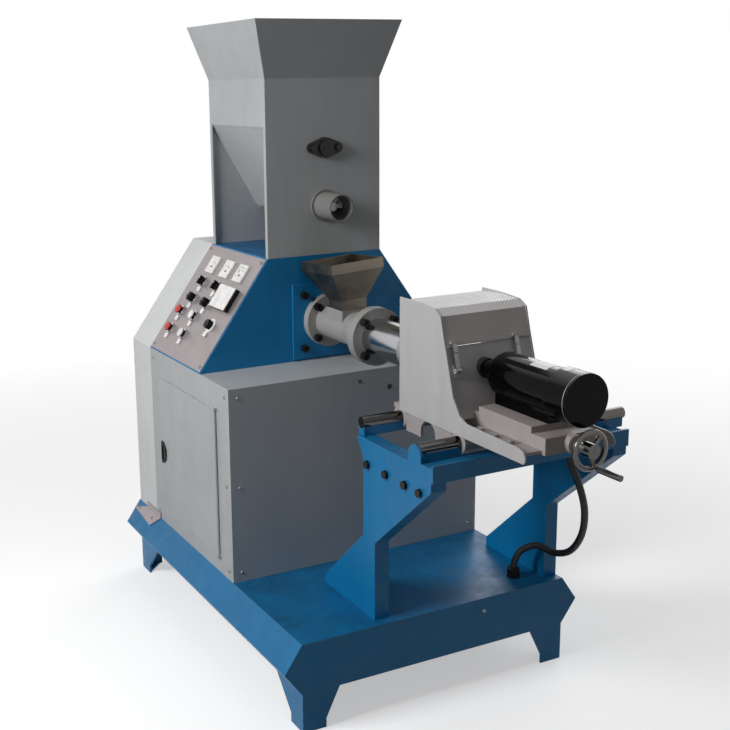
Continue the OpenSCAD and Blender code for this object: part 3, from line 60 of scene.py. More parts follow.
def aimCamera(spec):
    turn, tilt, roll = (math.radians(spec[key]) for key in ("turn", "tilt", "roll"))
    ahead = Vector((math.sin(turn) * math.cos(tilt), math.cos(turn) * math.cos(tilt), math.sin(tilt)))
    right = Vector((math.cos(turn), -math.sin(turn), 0))
    up = right.cross(ahead)
    rolledRight = right * math.cos(roll) + up * math.sin(roll)
    rolledUp = up * math.cos(roll) - right * math.sin(roll)
    data = bpy.data.cameras.new("photoCamera")
    data.lens = spec["lens"]
    data.sensor_width = spec["sensor"]
    data.shift_x, data.shift_y = spec["shift"]
    data.clip_start, data.clip_end = spec["clip"]
    cam = bpy.data.objects.new("photoCamera", data)
    bpy.context.scene.collection.objects.link(cam)
    axes = Matrix((rolledRight, rolledUp, -ahead)).transposed()
    cam.matrix_world = Matrix.Translation(spec["place"]) @ axes.to_4x4()
    bpy.context.scene.camera = cam


aimCamera(camera)
print("camera set")

# The hose hangs from the gland under the cross beam to the gland on the base
hose = {
    "radius": 7.5 * mm,
    "points": [(200, -157, 556), (204, -160, 530), (222, -165, 485), (252, -150, 420), (278, -115, 350),
               (288, -70, 295), (286, -20, 272), (276, 25, 275), (256, 52, 258), (244, 60, 235),
               (240, 61, 215)],
    "steps": 5,  # from each point to the next
    "roundness": 6,
}


# Smooth curve through all the points
def smoothPath(points, steps):
    path = []
    last = len(points) - 1
    for i in range(last):
        a, b, c, d = (points[k] for k in (max(i - 1, 0), i, i + 1, min(i + 2, last)))
        for k in range(steps):
            u = k / steps
            path.append(b + u * (c - a) / 2 + u * u * (a - 2.5 * b + 2 * c - d / 2)
                        + u ** 3 * (1.5 * b - a / 2 - 1.5 * c + d / 2))
    return path + [points[last]]


def makeHose(spec):
    route = [Vector((x * mm, y * mm - middleY, z * mm)) for x, y, z in spec["points"]]
    path = smoothPath(route, spec["steps"])
    data = bpy.data.curves.new("hose", "CURVE")
    data.dimensions = "3D"
    data.bevel_depth = 1  # times the radius of each point
    data.bevel_resolution = spec["roundness"]
    spline = data.splines.new("POLY")
    spline.points.add(len(path) - 1)
    for point, place in zip(spline.points, path):
        point.co = (*place, 1)
        point.radius = spec["radius"]
    spline.use_smooth = True
    piece = bpy.data.objects.new("hose", data)
    bpy.context.scene.collection.objects.link(piece)
    length = sum((b - a).length for a, b in zip(path, path[1:]))
    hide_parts("conduit")
    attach(piece, "frame")
    tuple(path[0])
    print(f"hose made, {length:.3f} m long")
    return piece


hosePiece = makeHose(hose)


# Finishes. All textures run on object coordinates, in metres.
def feed(tree, value, socket):
    if isinstance(value, bpy.types.NodeSocket):
        tree.links.new(value, socket)
    else:
        socket.default_value = value


def put(tree, kind, inputs=None, **settings):
    new = tree.nodes.new("ShaderNode" + kind)
    for key, value in settings.items():
        setattr(new, key, value)
    for key, value in (inputs or {}).items():
        feed(tree, value, new.inputs[key])
    return new


def newFinish(name):
    finish = bpy.data.materials.new(name)
    finish.use_nodes = True
    tree = finish.node_tree
    shader = tree.nodes["Principled BSDF"]
    where = put(tree, "TexCoord").outputs["Object"]
    return finish, tree, shader, where


def noise(tree, where, size, detail=4, roughness=0.55, stretch=None):
    if stretch:
        where = put(tree, "Mapping", {"Vector": where, "Scale": stretch}).outputs["Vector"]
    return put(tree, "TexNoise", {"Vector": where, "Scale": 1 / size, "Detail": detail,
                                  "Roughness": roughness}).outputs["Fac"]


# Turns a value between fromLow and fromHigh into one between low and high
def spread(tree, value, low, high, fromLow=0.3, fromHigh=0.7):
    return put(tree, "MapRange", {"Value": value, "From Min": fromLow, "From Max": fromHigh,
                                  "To Min": low, "To Max": high}).outputs["Result"]


def scalarMath(tree, how, first, second):
    return put(tree, "Math", {0: first, 1: second}, operation=how).outputs["Value"]


def times(tree, first, second):
    return scalarMath(tree, "MULTIPLY", first, second)


def plus(tree, first, second):
    return scalarMath(tree, "ADD", first, second)


def vectorMath(tree, how, *values, result="Vector"):
    return put(tree, "VectorMath", dict(enumerate(values)), operation=how).outputs[result]


# The colour sockets of a Mix node share their names with others, so they go by number
mixSockets = {"amount": 0, "first": 6, "second": 7, "result": 2}


def blendColours(tree, amount, first, second):
    inputs = {mixSockets["amount"]: amount}
    for key, colour in (("first", first), ("second", second)):
        plain = not isinstance(colour, bpy.types.NodeSocket)
        inputs[mixSockets[key]] = (*colour, 1) if plain else colour
    return put(tree, "Mix", inputs, data_type="RGBA").outputs[mixSockets["result"]]


def shades(colour, amount):
    return tuple(c * (1 - amount) for c in colour), tuple(min(c * (1 + amount), 1) for c in colour)


def scaled(value, shares):
    return [value * share for share in shares]


def roundEdges(tree, radius, samples=4):
    return put(tree, "Bevel", {"Radius": radius}, samples=samples).outputs["Normal"]


def upward(tree, low=0.35, high=1.0):
    facing = put(tree, "NewGeometry").outputs["Normal"]
    up = put(tree, "SeparateXYZ", {"Vector": facing}).outputs["Z"]
    return spread(tree, up, 0, 1, low, high)


# Sprayed enamel: cloudy colour, fine orange peel, and a colour mixed in on what faces up: dust on most
# paints, painted shade on the tops of the blue paint
# Each paint's paler edge colour is a painted highlight on its rounded edges
paints = {
    # On the blue paint the dark navy on what faces up is painted shade on its tops
    "blue_paint": {"colour": (0.003, 0.180, 0.415), "rough": 0.38, "gloss": 0.32, "mottle": 0.10,
                   "peel": 0.10, "dust": 0.4, "dustColour": (0.008, 0.055, 0.115),
                   "edge": 1.6 * mm, "worn": (0.06, 0.28, 0.47)},
    "grey_paint": {"colour": (0.45, 0.468, 0.478), "rough": 0.44, "gloss": 0.35, "mottle": 0.06,
                   "peel": 0.10, "dust": 0.12, "dustColour": (0.36, 0.36, 0.34),
                   "edge": 1.2 * mm, "worn": (0.66, 0.67, 0.67)},
    "pale_paint": {"colour": (0.74, 0.75, 0.755), "rough": 0.42, "gloss": 0.35, "mottle": 0.05,
                   "peel": 0.10, "dust": 0.10, "dustColour": (0.5, 0.49, 0.47),
                   "edge": 1.2 * mm, "worn": (0.84, 0.84, 0.84)},
    "motor_paint": {"colour": (0.13, 0.16, 0.19), "rough": 0.45, "gloss": 0.35, "mottle": 0.15,
                    "peel": 0.30, "dust": 0.3, "dustColour": (0.3, 0.3, 0.29),
                    "edge": 1.0 * mm, "worn": (0.3, 0.32, 0.33)},
    "barrel_paint": {"colour": (0.325, 0.32, 0.31), "rough": 0.42, "gloss": 0.35, "mottle": 0.16,
                     "peel": 0.45, "dust": 0.3, "dustColour": (0.26, 0.25, 0.24),
                     "edge": 1.5 * mm, "worn": (0.58, 0.58, 0.57)},
    "slide_casting": {"colour": (0.44, 0.395, 0.385), "rough": 0.52, "gloss": 0.3, "mottle": 0.14,
                      "peel": 0.5, "dust": 0.3, "dustColour": (0.24, 0.22, 0.21),
                      "edge": 1.5 * mm, "worn": (0.52, 0.47, 0.46)},
    "black_enamel": {"colour": (0.0015, 0.0015, 0.0019), "rough": 0.10, "gloss": 0.07, "topGloss": 0.42,
                     "mottle": 0.3, "peel": 0.05, "dust": 0.02, "dustColour": (0.03, 0.03, 0.03),
                     "edge": 1.5 * mm, "worn": (0.07, 0.07, 0.07)},
    "housing_paint": {"colour": (0.55, 0.54, 0.535), "rough": 0.44, "gloss": 0.35, "mottle": 0.06,
                      "peel": 0.12, "dust": 0.15, "dustColour": (0.34, 0.32, 0.30),
                      "edge": 1.0 * mm, "worn": (0.62, 0.61, 0.6)},
    # The feed tube's grey, darker than grey_paint as painted shade on the tube
    "grey_paint_in_painted_shade": {"colour": (0.22, 0.225, 0.215), "rough": 0.5, "gloss": 0.3, "mottle": 0.12,
                   "peel": 0.2, "dust": 0.2, "dustColour": (0.2, 0.19, 0.18),
                   "edge": 1.0 * mm, "worn": (0.34, 0.34, 0.33)},
    "lid_front": {"colour": (0.62, 0.575, 0.565), "rough": 0.44, "gloss": 0.35, "mottle": 0.08,
                  "peel": 0.12, "dust": 0.1, "dustColour": (0.30, 0.28, 0.26),
                  "edge": 1.0 * mm, "worn": (0.55, 0.54, 0.53)},
}

# What all paints share: the noise behind each pattern and how strongly it shows
paintPatterns = {
    "clouds": {"size": 220 * mm, "detail": 5},
    "streaks": {"size": 30 * mm, "roughness": 0.6, "stretch": (1, 1, 0.15)},
    "streakAmount": 0.5,
    "streakFrom": (0.45, 0.8),  # the part of the noise that shows
    "streakDark": 0.15,
    "dust": {"size": 70 * mm, "detail": 6, "roughness": 0.7},
    "dustAndShadeAmount": (0.5, 2),  # times the paint's own dust and painted shade
    "dustAndShadeFrom": (0.35, 0.75),
    "rub": {"size": 35 * mm, "detail": 5, "roughness": 0.65},
    "rubAmount": (0.8, 1.3),  # times the paint's own roughness
    "peel": {"size": 4.5 * mm, "detail": 2, "roughness": 0.5},
    "peelShare": 0.35,  # against the waves
    "waves": {"size": 130 * mm, "detail": 2, "roughness": 0.4},
    "lift": 0.9 * mm,
    "topFrom": (0.55, 0.8),  # how far a surface faces up before it has the top gloss
}


def paintLook(tree, where, spec):
    shared = paintPatterns
    low, high = shades(spec["colour"], spec["mottle"])
    base = blendColours(tree, spread(tree, noise(tree, where, **shared["clouds"]), 0, 1), low, high)
    streaks = spread(tree, noise(tree, where, **shared["streaks"]), 0, shared["streakAmount"],
                     *shared["streakFrom"])
    base = blendColours(tree, streaks, base, shades(spec["colour"], shared["streakDark"])[0])
    # Upward faces take some of the paint's dust colour; on the blue paint this is painted shade
    dust = spread(tree, noise(tree, where, **shared["dust"]), *scaled(spec["dust"], shared["dustAndShadeAmount"]),
                  *shared["dustAndShadeFrom"])
    base = blendColours(tree, times(tree, upward(tree), dust), base, spec["dustColour"])
    rub = spread(tree, noise(tree, where, **shared["rub"]), *scaled(spec["rough"], shared["rubAmount"]))
    height = plus(tree, times(tree, noise(tree, where, **shared["peel"]), shared["peelShare"]),
                  noise(tree, where, **shared["waves"]))
    gloss = spec["gloss"]
    if "topGloss" in spec:
        gloss = spread(tree, upward(tree, *shared["topFrom"]), gloss, spec["topGloss"], 0, 1)
    return {"base": base, "rough": rub, "metallic": 0.0, "gloss": gloss, "height": height,
            "depth": spec["peel"], "lift": shared["lift"], "edge": spec["edge"],
            "worn": spec["worn"], "where": where}


# Metal: drawn, turned, brushed or polished; the grain is stretched along one axis
metals = {
    "panel_steel": {"colour": (0.375, 0.335, 0.34), "rough": 0.40, "metallic": 0.75, "grain": (1, 0.012, 1),
                    "grainSize": 1.2 * mm, "depth": 0.14, "stain": 0.10, "edge": 0.5 * mm},
    "screw_steel": {"colour": (0.20, 0.20, 0.20), "rough": 0.42, "metallic": 0.9, "grain": (1, 1, 1),
                    "grainSize": 1.5 * mm, "depth": 0.10, "stain": 0.25, "edge": 0.5 * mm},
    "black_steel": {"colour": (0.017, 0.017, 0.018), "rough": 0.42, "metallic": 0.7, "grain": (1, 1, 1),
                    "grainSize": 1.0 * mm, "depth": 0.15, "stain": 0.35, "edge": 0.7 * mm},
    "machined_iron": {"colour": (0.34, 0.34, 0.35), "rough": 0.42, "metallic": 0.9, "grain": (1, 0.2, 1),
                      "grainSize": 1.5 * mm, "depth": 0.20, "stain": 0.25, "edge": 0.8 * mm},
    "bright_steel": {"colour": (0.50, 0.50, 0.51), "rough": 0.19, "metallic": 1.0, "grain": (1, 30, 1),
                     "grainSize": 20 * mm, "depth": 0.06, "stain": 0.12, "edge": 0.6 * mm},
    "polished_chrome": {"colour": (0.46, 0.465, 0.475), "rough": 0.15, "metallic": 1.0, "grain": (1, 18, 1),
                        "grainSize": 30 * mm, "depth": 0.02, "stain": 0.08, "edge": 0.8 * mm},
    # Chrome made darker: painted dark reflection on the rails, handwheel and crank grip
    "chrome_with_painted_dark_reflection": {"colour": (0.10, 0.097, 0.093), "rough": 0.13, "metallic": 1.0, "grain": (18, 1, 1),
                    "grainSize": 30 * mm, "depth": 0.02, "stain": 0.15, "edge": 0.8 * mm},
    "die_steel": {"colour": (0.36, 0.35, 0.35), "rough": 0.42, "metallic": 1.0, "grain": (1, 1, 1),
                  "grainSize": 1.2 * mm, "depth": 0.12, "stain": 0.30, "edge": 0.5 * mm},
    "stainless": {"colour": (0.175, 0.155, 0.125), "rough": 0.40, "metallic": 1.0, "grain": (1, 1, 0.02),
                  "grainSize": 1.0 * mm, "depth": 0.10, "stain": 0.16, "edge": 0.8 * mm},
}

metalPatterns = {
    "grain": {"detail": 3, "roughness": 0.6},
    "grainAmount": 0.3,
    "grainDark": 0.25,
    "patches": {"size": 50 * mm, "detail": 5, "roughness": 0.65},
    "rubAmount": (0.7, 1.15),  # times the metal's own roughness, from patch to patch
    "grainRub": (0, 0.25),  # the same from grain to grain, added to it
    "gloss": 0.5,
    "lift": 0.25 * mm,
}


def metalLook(tree, where, spec):
    shared = metalPatterns
    low, high = shades(spec["colour"], spec["stain"])
    grain = noise(tree, where, spec["grainSize"], stretch=spec["grain"], **shared["grain"])
    patches = noise(tree, where, **shared["patches"])
    base = blendColours(tree, spread(tree, patches, 0, 1), low, high)
    base = blendColours(tree, spread(tree, grain, 0, shared["grainAmount"]), base,
                        shades(spec["colour"], shared["grainDark"])[0])
    rub = plus(tree, spread(tree, patches, *scaled(spec["rough"], shared["rubAmount"])),
               spread(tree, grain, *scaled(spec["rough"], shared["grainRub"])))
    return {"base": base, "rough": rub, "metallic": spec["metallic"], "gloss": shared["gloss"],
            "height": grain, "depth": spec["depth"], "lift": shared["lift"], "edge": spec["edge"]}


plastics = {
    "black_plastic": {"colour": (0.005, 0.005, 0.0055), "rough": 0.40, "gloss": 0.14,
                      "grain": 0.20, "edge": 0.8 * mm},
    "white_plastic": {"colour": (0.90, 0.895, 0.88), "rough": 0.38, "gloss": 0.35,
                      "grain": 0.06, "edge": 0.5 * mm},
    "red_plastic": {"colour": (0.60, 0.045, 0.035), "rough": 0.36, "gloss": 0.35,
                    "grain": 0.05, "edge": 0.8 * mm},
    "belt_rubber": {"colour": (0.016, 0.016, 0.017), "rough": 0.75, "gloss": 0.25,
                    "grain": 0.5, "edge": 0.5 * mm},
    "hose_rubber": {"colour": (0.010, 0.010, 0.011), "rough": 0.48, "gloss": 0.25,
                    "grain": 0.35, "edge": 0.5 * mm},
}

plasticPatterns = {
    "mottle": 0.12,
    "clouds": {"size": 30 * mm},
    "settled": {"size": 8 * mm},  # dust on what faces up
    "settledAmount": 0.4,
    "dull": {"share": 0.8, "grey": 0.03},  # colour under the dust
    "rub": {"size": 12 * mm},
    "rubAmount": (0.8, 1.25),  # times the plastic's own roughness
    "grain": {"size": 0.9 * mm, "detail": 2},
    "lift": 0.2 * mm,
}


def plasticLook(tree, where, spec):
    shared = plasticPatterns
    low, high = shades(spec["colour"], shared["mottle"])
    base = blendColours(tree, spread(tree, noise(tree, where, **shared["clouds"]), 0, 1), low, high)
    dull = tuple(shared["dull"]["share"] * c + shared["dull"]["grey"] for c in spec["colour"])
    settled = times(tree, upward(tree),
                    spread(tree, noise(tree, where, **shared["settled"]), 0, shared["settledAmount"]))
    base = blendColours(tree, settled, base, dull)
    rub = spread(tree, noise(tree, where, **shared["rub"]), *scaled(spec["rough"], shared["rubAmount"]))
    return {"base": base, "rough": rub, "metallic": 0.0, "gloss": spec["gloss"],
            "height": noise(tree, where, **shared["grain"]), "depth": spec["grain"],
            "lift": shared["lift"], "edge": spec["edge"]}


# Painted highlight along the rounded edges: the colour turns paler there, in broken patches
edgeHighlight = {
    "edgeFrom": (0.86, 0.985),  # cosine of the angle between the rounded edge and the flat face
    "patches": {"size": 14 * mm, "detail": 5, "roughness": 0.7},
    "patchAmount": (0.25, 0.9),
    "patchFrom": (0.35, 0.6),
}


def paintedEdgeHighlight(tree, look, edge):
    flat = put(tree, "NewGeometry").outputs["True Normal"]
    along = vectorMath(tree, "DOT_PRODUCT", edge, flat, result="Value")
    near = spread(tree, along, 1, 0, *edgeHighlight["edgeFrom"])
    patchy = spread(tree, noise(tree, look["where"], **edgeHighlight["patches"]), *edgeHighlight["patchAmount"],
                    *edgeHighlight["patchFrom"])
    return blendColours(tree, times(tree, near, patchy), look["base"], look["worn"])


def finishLook(tree, shader, look):
    edge = roundEdges(tree, look["edge"])
    if "worn" in look:
        # Paler rounded edges: painted highlight
        look["base"] = paintedEdgeHighlight(tree, look, edge)
    for key, name in (("base", "Base Color"), ("rough", "Roughness"), ("metallic", "Metallic"),
                      ("gloss", "Specular IOR Level")):
        feed(tree, look[key], shader.inputs[name])
    bump = put(tree, "Bump", {"Height": look["height"], "Strength": look["depth"],
                              "Distance": look["lift"], "Normal": edge})
    tree.links.new(bump.outputs["Normal"], shader.inputs["Normal"])


lookMakers = {}
for maker, group in ((paintLook, paints), (metalLook, metals), (plasticLook, plastics)):
    lookMakers.update({name: (maker, spec) for name, spec in group.items()})


def makeLook(name, tree, where):
    maker, spec = lookMakers[name]
    return maker(tree, where, spec)


def makeFinish(name):
    finish, tree, shader, where = newFinish(name)
    finishLook(tree, shader, makeLook(name, tree, where))
    return finish


finishes = {name: makeFinish(name) for name in lookMakers}

# The sloping side of the cabinet, in mm: the front end of its lower edge, and how it leans
slope = {"foot": (-330, 490, 645), "run": 180, "rise": 251}
footX, footY, footZ = slope["foot"]
panelLean = math.atan2(slope["rise"], slope["run"])
panelOut = (-math.sin(panelLean), 0, math.cos(panelLean))
panelHeight = panelOut[0] * footX * mm + panelOut[2] * footZ * mm  # along its own outward line

# Pieces in two finishes: the first, the second, and the axis and place from which the second is used
splits = {
    "tubeAndFlange": ("polished_chrome", "barrel_paint", (0, 1, 0), -1.6 * mm),
    # The speed drive's box is white on its face; the black below it, on its sides, is painted shade
    "driveBox": ("black_plastic", "white_plastic", panelOut, panelHeight + 14 * mm),
    "redButton": ("black_plastic", "red_plastic", panelOut, panelHeight + 11.8 * mm),
    "whiteButton": ("black_plastic", "white_plastic", panelOut, panelHeight + 11.8 * mm),
    "switchBase": ("black_plastic", "bright_steel", panelOut, panelHeight + 1 * mm),
}


def splitFinish(name, first, second, axis, place):
    finish, tree, shader, where = newFinish(name)
    one, two = (makeLook(key, tree, where) for key in (first, second))
    value = vectorMath(tree, "DOT_PRODUCT", where, axis, result="Value")
    beyond = scalarMath(tree, "GREATER_THAN", value, place)
    look = dict(one)
    look["base"] = blendColours(tree, beyond, one["base"], two["base"])
    for key in ("rough", "metallic", "height"):
        look[key] = spread(tree, beyond, one[key], two[key], 0, 1)
    finishLook(tree, shader, look)
    return finish


for name, split in splits.items():
    finishes[name] = splitFinish(name, *split)

# The top of the lid is punched with rows of small round holes, and it is painted paler than the lid's front
# as painted light from above
punched = {
    "pitch": 8 * mm,
    "radius": 2.1 * mm,
    "rim": (0.85, 1.1),  # times the radius
    "shifts": ((0, 0, 0), (0.5, 0.5, 0)),  # of the two sets of rows, in pitches
    "topFrom": (0.8, 0.93),
    # Colour of the upward faces: paler than the front, as painted light from above
    "paintedLitTop": (0.90, 0.895, 0.89),
    # Colour of the holes: painted shade inside them, on the top only
    "hole": (0.44, 0.435, 0.43),
    "holeShadeAmount": 0.8,
    "holeDepth": -1.5,
}


def makeLidFinish(name, spec):
    finish, tree, shader, where = newFinish(name)
    look = paintLook(tree, where, paints["lid_front"])
    perPitch = (1 / spec["pitch"], 1 / spec["pitch"], 0)
    radius = spec["radius"] / spec["pitch"]
    rows = []
    for shift in spec["shifts"]:
        cell = vectorMath(tree, "MULTIPLY", where, perPitch)
        cell = vectorMath(tree, "FRACTION", vectorMath(tree, "ADD", cell, shift))
        away = vectorMath(tree, "DISTANCE", cell, (0.5, 0.5, 0), result="Value")
        rows.append(spread(tree, away, 1, 0, *scaled(radius, spec["rim"])))
    hole = plus(tree, *rows)
    # Upward faces take the paler colour: painted light from above
    top = upward(tree, *spec["topFrom"])
    base = blendColours(tree, top, look["base"], spec["paintedLitTop"])
    # Painted shade in the holes, on the top faces only; the bump sinks them as well
    look["base"] = blendColours(tree, times(tree, hole, times(tree, top, spec["holeShadeAmount"])), base,
                                spec["hole"])
    look["height"] = plus(tree, look["height"], times(tree, hole, spec["holeDepth"]))
    finishLook(tree, shader, look)
    return finish


finishes["lid"] = makeLidFinish("lid", punched)
print(f"{len(finishes)} finishes made")

# Every carried-over solid takes its finish from its slot in the record, or from this list
specialFinish = {"head_tube": "tubeAndFlange", "speed_drive": "driveBox", "switch_bases": "switchBase",
                 "cutter_housing": "housing_paint", "housing_lid": "lid", "slide_rails": "chrome_with_painted_dark_reflection",
                 "handwheel": "chrome_with_painted_dark_reflection", "crank_grip": "chrome_with_painted_dark_reflection", "agitator": "black_steel",
                 # The knife shaft is steel; the black_steel on it is painted shade inside the housing
                 "feed_auger": "machined_iron", "feed_tube": "grey_paint_in_painted_shade", "knife_shaft": "black_steel",
                 "stop_button_upper": "redButton", "stop_button_lower": "redButton",
                 "start_button_upper": "whiteButton", "start_button_lower": "whiteButton"}


def slotNames(record):
    return {row["node"]: row["material_slot"] for row in record["subparts"]}


for name, slot in slotNames(frame["record"]).items():
    solid = nodes[name]
    solid.data.materials.clear()
    solid.data.materials.append(finishes[specialFinish.get(name, slot)])
hosePiece.data.materials.append(finishes["hose_rubber"])
print(f"{len(nodes)} solids finished")


# Outlines of small pieces, in mm and degrees. A prism stands on an outline, from one height to another.
def prism(outline, low, high):
    count = len(outline)
    points = [(u, v, low) for u, v in outline] + [(u, v, high) for u, v in outline]
    sides = [(i, (i + 1) % count, count + (i + 1) % count, count + i) for i in range(count)]
    return points, [tuple(range(count - 1, -1, -1)), tuple(range(count, 2 * count))] + sides


def bar(middle, angle, start, end, half):
    u, v = math.cos(math.radians(angle)), math.sin(math.radians(angle))
    return [(middle[0] + u * r - v * w, middle[1] + v * r + u * w)
            for r, w in ((start, -half), (end, -half), (end, half), (start, half))]


def around(middle, radius, turns):
    return [(middle[0] + radius * math.cos(turn), middle[1] + radius * math.sin(turn)) for turn in turns]


def arcBand(middle, radius, half, first, last, steps=24):
    turns = [math.radians(first + (last - first) * k / steps) for k in range(steps + 1)]
    return around(middle, radius + half, turns) + around(middle, radius - half, turns)[::-1]


def disc(middle, radius, steps=32):
    return around(middle, radius, [math.tau * k / steps for k in range(steps)])


def rounded(low, high, radius, steps=5):
    outline = []
    for u, v, first in ((high[0] - radius, high[1] - radius, 0), (low[0] + radius, high[1] - radius, 90),
                        (low[0] + radius, low[1] + radius, 180), (high[0] - radius, low[1] + radius, 270)):
        outline += around((u, v), radius, [math.radians(first + 90 * k / steps) for k in range(steps + 1)])
    return outline


# "place" turns the places of the outlines into the machine's frame
def buildPiece(name, body, slot, shapes, place, bevel=0, segments=2):
    points, faces = [], []
    for shapePoints, shapeFaces in shapes:
        start = len(points)
        points += [place(*point) for point in shapePoints]
        faces += [tuple(start + i for i in face) for face in shapeFaces]
    data = bpy.data.meshes.new(name)
    data.from_pydata(points, [], faces)
    work = bmesh.new()
    work.from_mesh(data)
    bmesh.ops.recalc_face_normals(work, faces=work.faces)
    work.to_mesh(data)
    work.free()
    piece = bpy.data.objects.new(name, data)
    bpy.context.scene.collection.objects.link(piece)
    data.materials.append(finishes[slot])
    if bevel:
        rounding = piece.modifiers.new("rounding", "BEVEL")
        rounding.width = bevel * mm
        rounding.segments = segments
    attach(piece, body)


# Places on the sloping panel: s runs to the rear, t up the slope, n straight out
def onPanel(s, t, n):
    c, q = math.cos(panelLean), math.sin(panelLean)
    return Vector(((footX + t * c - n * q) * mm, (footY + s) * mm - middleY, (footZ + t * q + n * c) * mm))


meters = {
    "columns": (244, 158, 79),
    "row": 255,
    "floor": 5.4,  # height of the sunken face above the slope
    "ink": 0.12,  # thickness of the printed scales
    "pivotDrop": 8,  # below the middle of the meter
    "scale": {"radius": 16, "half": 0.18, "sweep": (52, 128)},
    "ticks": 11,
    "longEvery": 5,
    "longTick": {"length": 2.8, "half": 0.26},
    "shortTick": {"length": 1.6, "half": 0.14},
    "needles": (122, 118, 60),
    "needle": {"beyond": 0.6, "half": 0.3, "rise": (0.3, 0.55)},
    "pivot": {"radius": 2.2, "half": 2.1, "rise": 0.6, "steps": 18},
    "screw": {"drop": 17, "radius": 1.8, "height": (5.9, 6.25), "steps": 20, "bevel": 0.1},
    "screwSlot": {"turn": 35, "reach": 1.6, "half": 0.25, "height": (6.2, 6.4)},
    "window": {"column": 79, "up": 1, "half": 14.5, "line": 0.9, "rise": (-0.01, 0.1)},  # printed frame
}


def makeMeters(spec):
    printed, needles, pivots, screws = [], [], [], []
    floor, scale, needle, pivot, screw, groove, window = (
        spec[key] for key in ("floor", "scale", "needle", "pivot", "screw", "screwSlot", "window"))
    radius, (first, last) = scale["radius"], scale["sweep"]
    ink = (floor, floor + spec["ink"])
    for column, angle in zip(spec["columns"], spec["needles"]):
        middle = (column, spec["row"] - spec["pivotDrop"])
        printed.append(prism(arcBand(middle, radius, scale["half"], first, last), *ink))
        for k in range(spec["ticks"]):
            turn = first + (last - first) * k / (spec["ticks"] - 1)
            tick = spec["shortTick" if k % spec["longEvery"] else "longTick"]
            printed.append(prism(bar(middle, turn, radius, radius + tick["length"], tick["half"]), *ink))
        needles.append(prism(bar(middle, angle, 0, radius + needle["beyond"], needle["half"]),
                             *(floor + rise for rise in needle["rise"])))
        pivots.append(prism(arcBand(middle, pivot["radius"], pivot["half"], 0, 180, pivot["steps"]),
                            floor, floor + pivot["rise"]))
        middle = (column, spec["row"] - screw["drop"])
        screws.append(prism(disc(middle, screw["radius"], screw["steps"]), *screw["height"]))
        screws.append(prism(bar(middle, groove["turn"], -groove["reach"], groove["reach"], groove["half"]),
                            *groove["height"]))
    middle = (window["column"], spec["row"] + window["up"])
    for angle in (0, 90, 180, 270):
        side = bar(middle, angle, window["half"] - window["line"], window["half"], window["half"])
        printed.append(prism(side, *(floor + rise for rise in window["rise"])))
    buildPiece("meter_scales", "frame", "black_plastic", printed, onPanel)
    buildPiece("meter_needles", "frame", "red_plastic", needles, onPanel)
    buildPiece("meter_pivots", "frame", "black_plastic", pivots, onPanel)
    buildPiece("meter_screws", "frame", "white_plastic", screws, onPanel, screw["bevel"])


makeMeters(meters)

knobMarks = {
    "selectors": {"select_left": (244, 206), "select_right": (158, 206)},
    "selectorMark": {"half": 0.9, "reach": (2, 10.4), "corner": 0.6, "height": (17.9, 18.25)},
    "stars": {"star_left": (244, 158), "star_right": (158, 158)},
    "starCap": {"radius": 6.2, "height": (19.2, 20.0), "bevel": 0.4},
    "starMark": {"up": 3.6, "radius": 1.1, "height": (19.9, 20.2), "steps": 20},
    "speed": (79, 113),
    "speedMark": {"half": 0.5, "reach": (5.6, 10.2), "corner": 0.3, "height": (13.0, 15.7)},
    "speedRibs": {"count": 24, "reach": (10.6, 11.35), "half": 0.75, "height": (4.2, 13.5), "bevel": 0.25},
    "speedScale": {"count": 11, "first": 225, "step": -27, "start": 12.6, "long": 16.6, "short": 15,
                   "longEvery": 5, "half": 0.28, "height": (2.55, 2.72)},
}


def pointer(middle, spec):
    s, t = middle
    near, far = spec["reach"]
    return prism(rounded((s - spec["half"], t + near), (s + spec["half"], t + far), spec["corner"]),
                 *spec["height"])


def makeKnobMarks(spec):
    for body, middle in spec["selectors"].items():
        buildPiece(f"{body}_mark", body, "white_plastic", [pointer(middle, spec["selectorMark"])], onPanel)
    cap, mark = spec["starCap"], spec["starMark"]
    for body, (s, t) in spec["stars"].items():
        buildPiece(f"{body}_cap", body, "black_plastic",
                   [prism(disc((s, t), cap["radius"]), *cap["height"])], onPanel, cap["bevel"])
        dot = disc((s, t + mark["up"]), mark["radius"], mark["steps"])
        buildPiece(f"{body}_mark", body, "white_plastic", [prism(dot, *mark["height"])], onPanel)
    middle, ribs, scale = spec["speed"], spec["speedRibs"], spec["speedScale"]
    buildPiece("speed_mark", "speed", "white_plastic", [pointer(middle, spec["speedMark"])], onPanel)
    shapes = [prism(bar(middle, 360 * k / ribs["count"], *ribs["reach"], ribs["half"]), *ribs["height"])
              for k in range(ribs["count"])]
    buildPiece("speed_ring", "speed", "black_plastic", shapes, onPanel, ribs["bevel"])
    shapes = []
    for k in range(scale["count"]):
        end = scale["short" if k % scale["longEvery"] else "long"]
        turn = scale["first"] + scale["step"] * k
        shapes.append(prism(bar(middle, turn, scale["start"], end, scale["half"]), *scale["height"]))
    buildPiece("speed_scale", "frame", "black_plastic", shapes, onPanel)


makeKnobMarks(knobMarks)

# Thick white tags on the printed labels below the switches
tags = {
    "places": [(270, 97), (186, 97), (270, 46), (186, 46), (244, 185), (158, 185), (244, 137), (158, 137),
               (79, 89)],
    "half": (7.5, 6.2),
    "corner": 1,
    "height": (2.55, 5.0),
    "bevel": 0.3,
}


def makeTags(spec):
    wide, tall = spec["half"]
    shapes = [prism(rounded((s - wide, t - tall), (s + wide, t + tall), spec["corner"]), *spec["height"])
              for s, t in spec["places"]]
    buildPiece("switch_tags", "frame", "white_plastic", shapes, onPanel, spec["bevel"])


makeTags(tags)

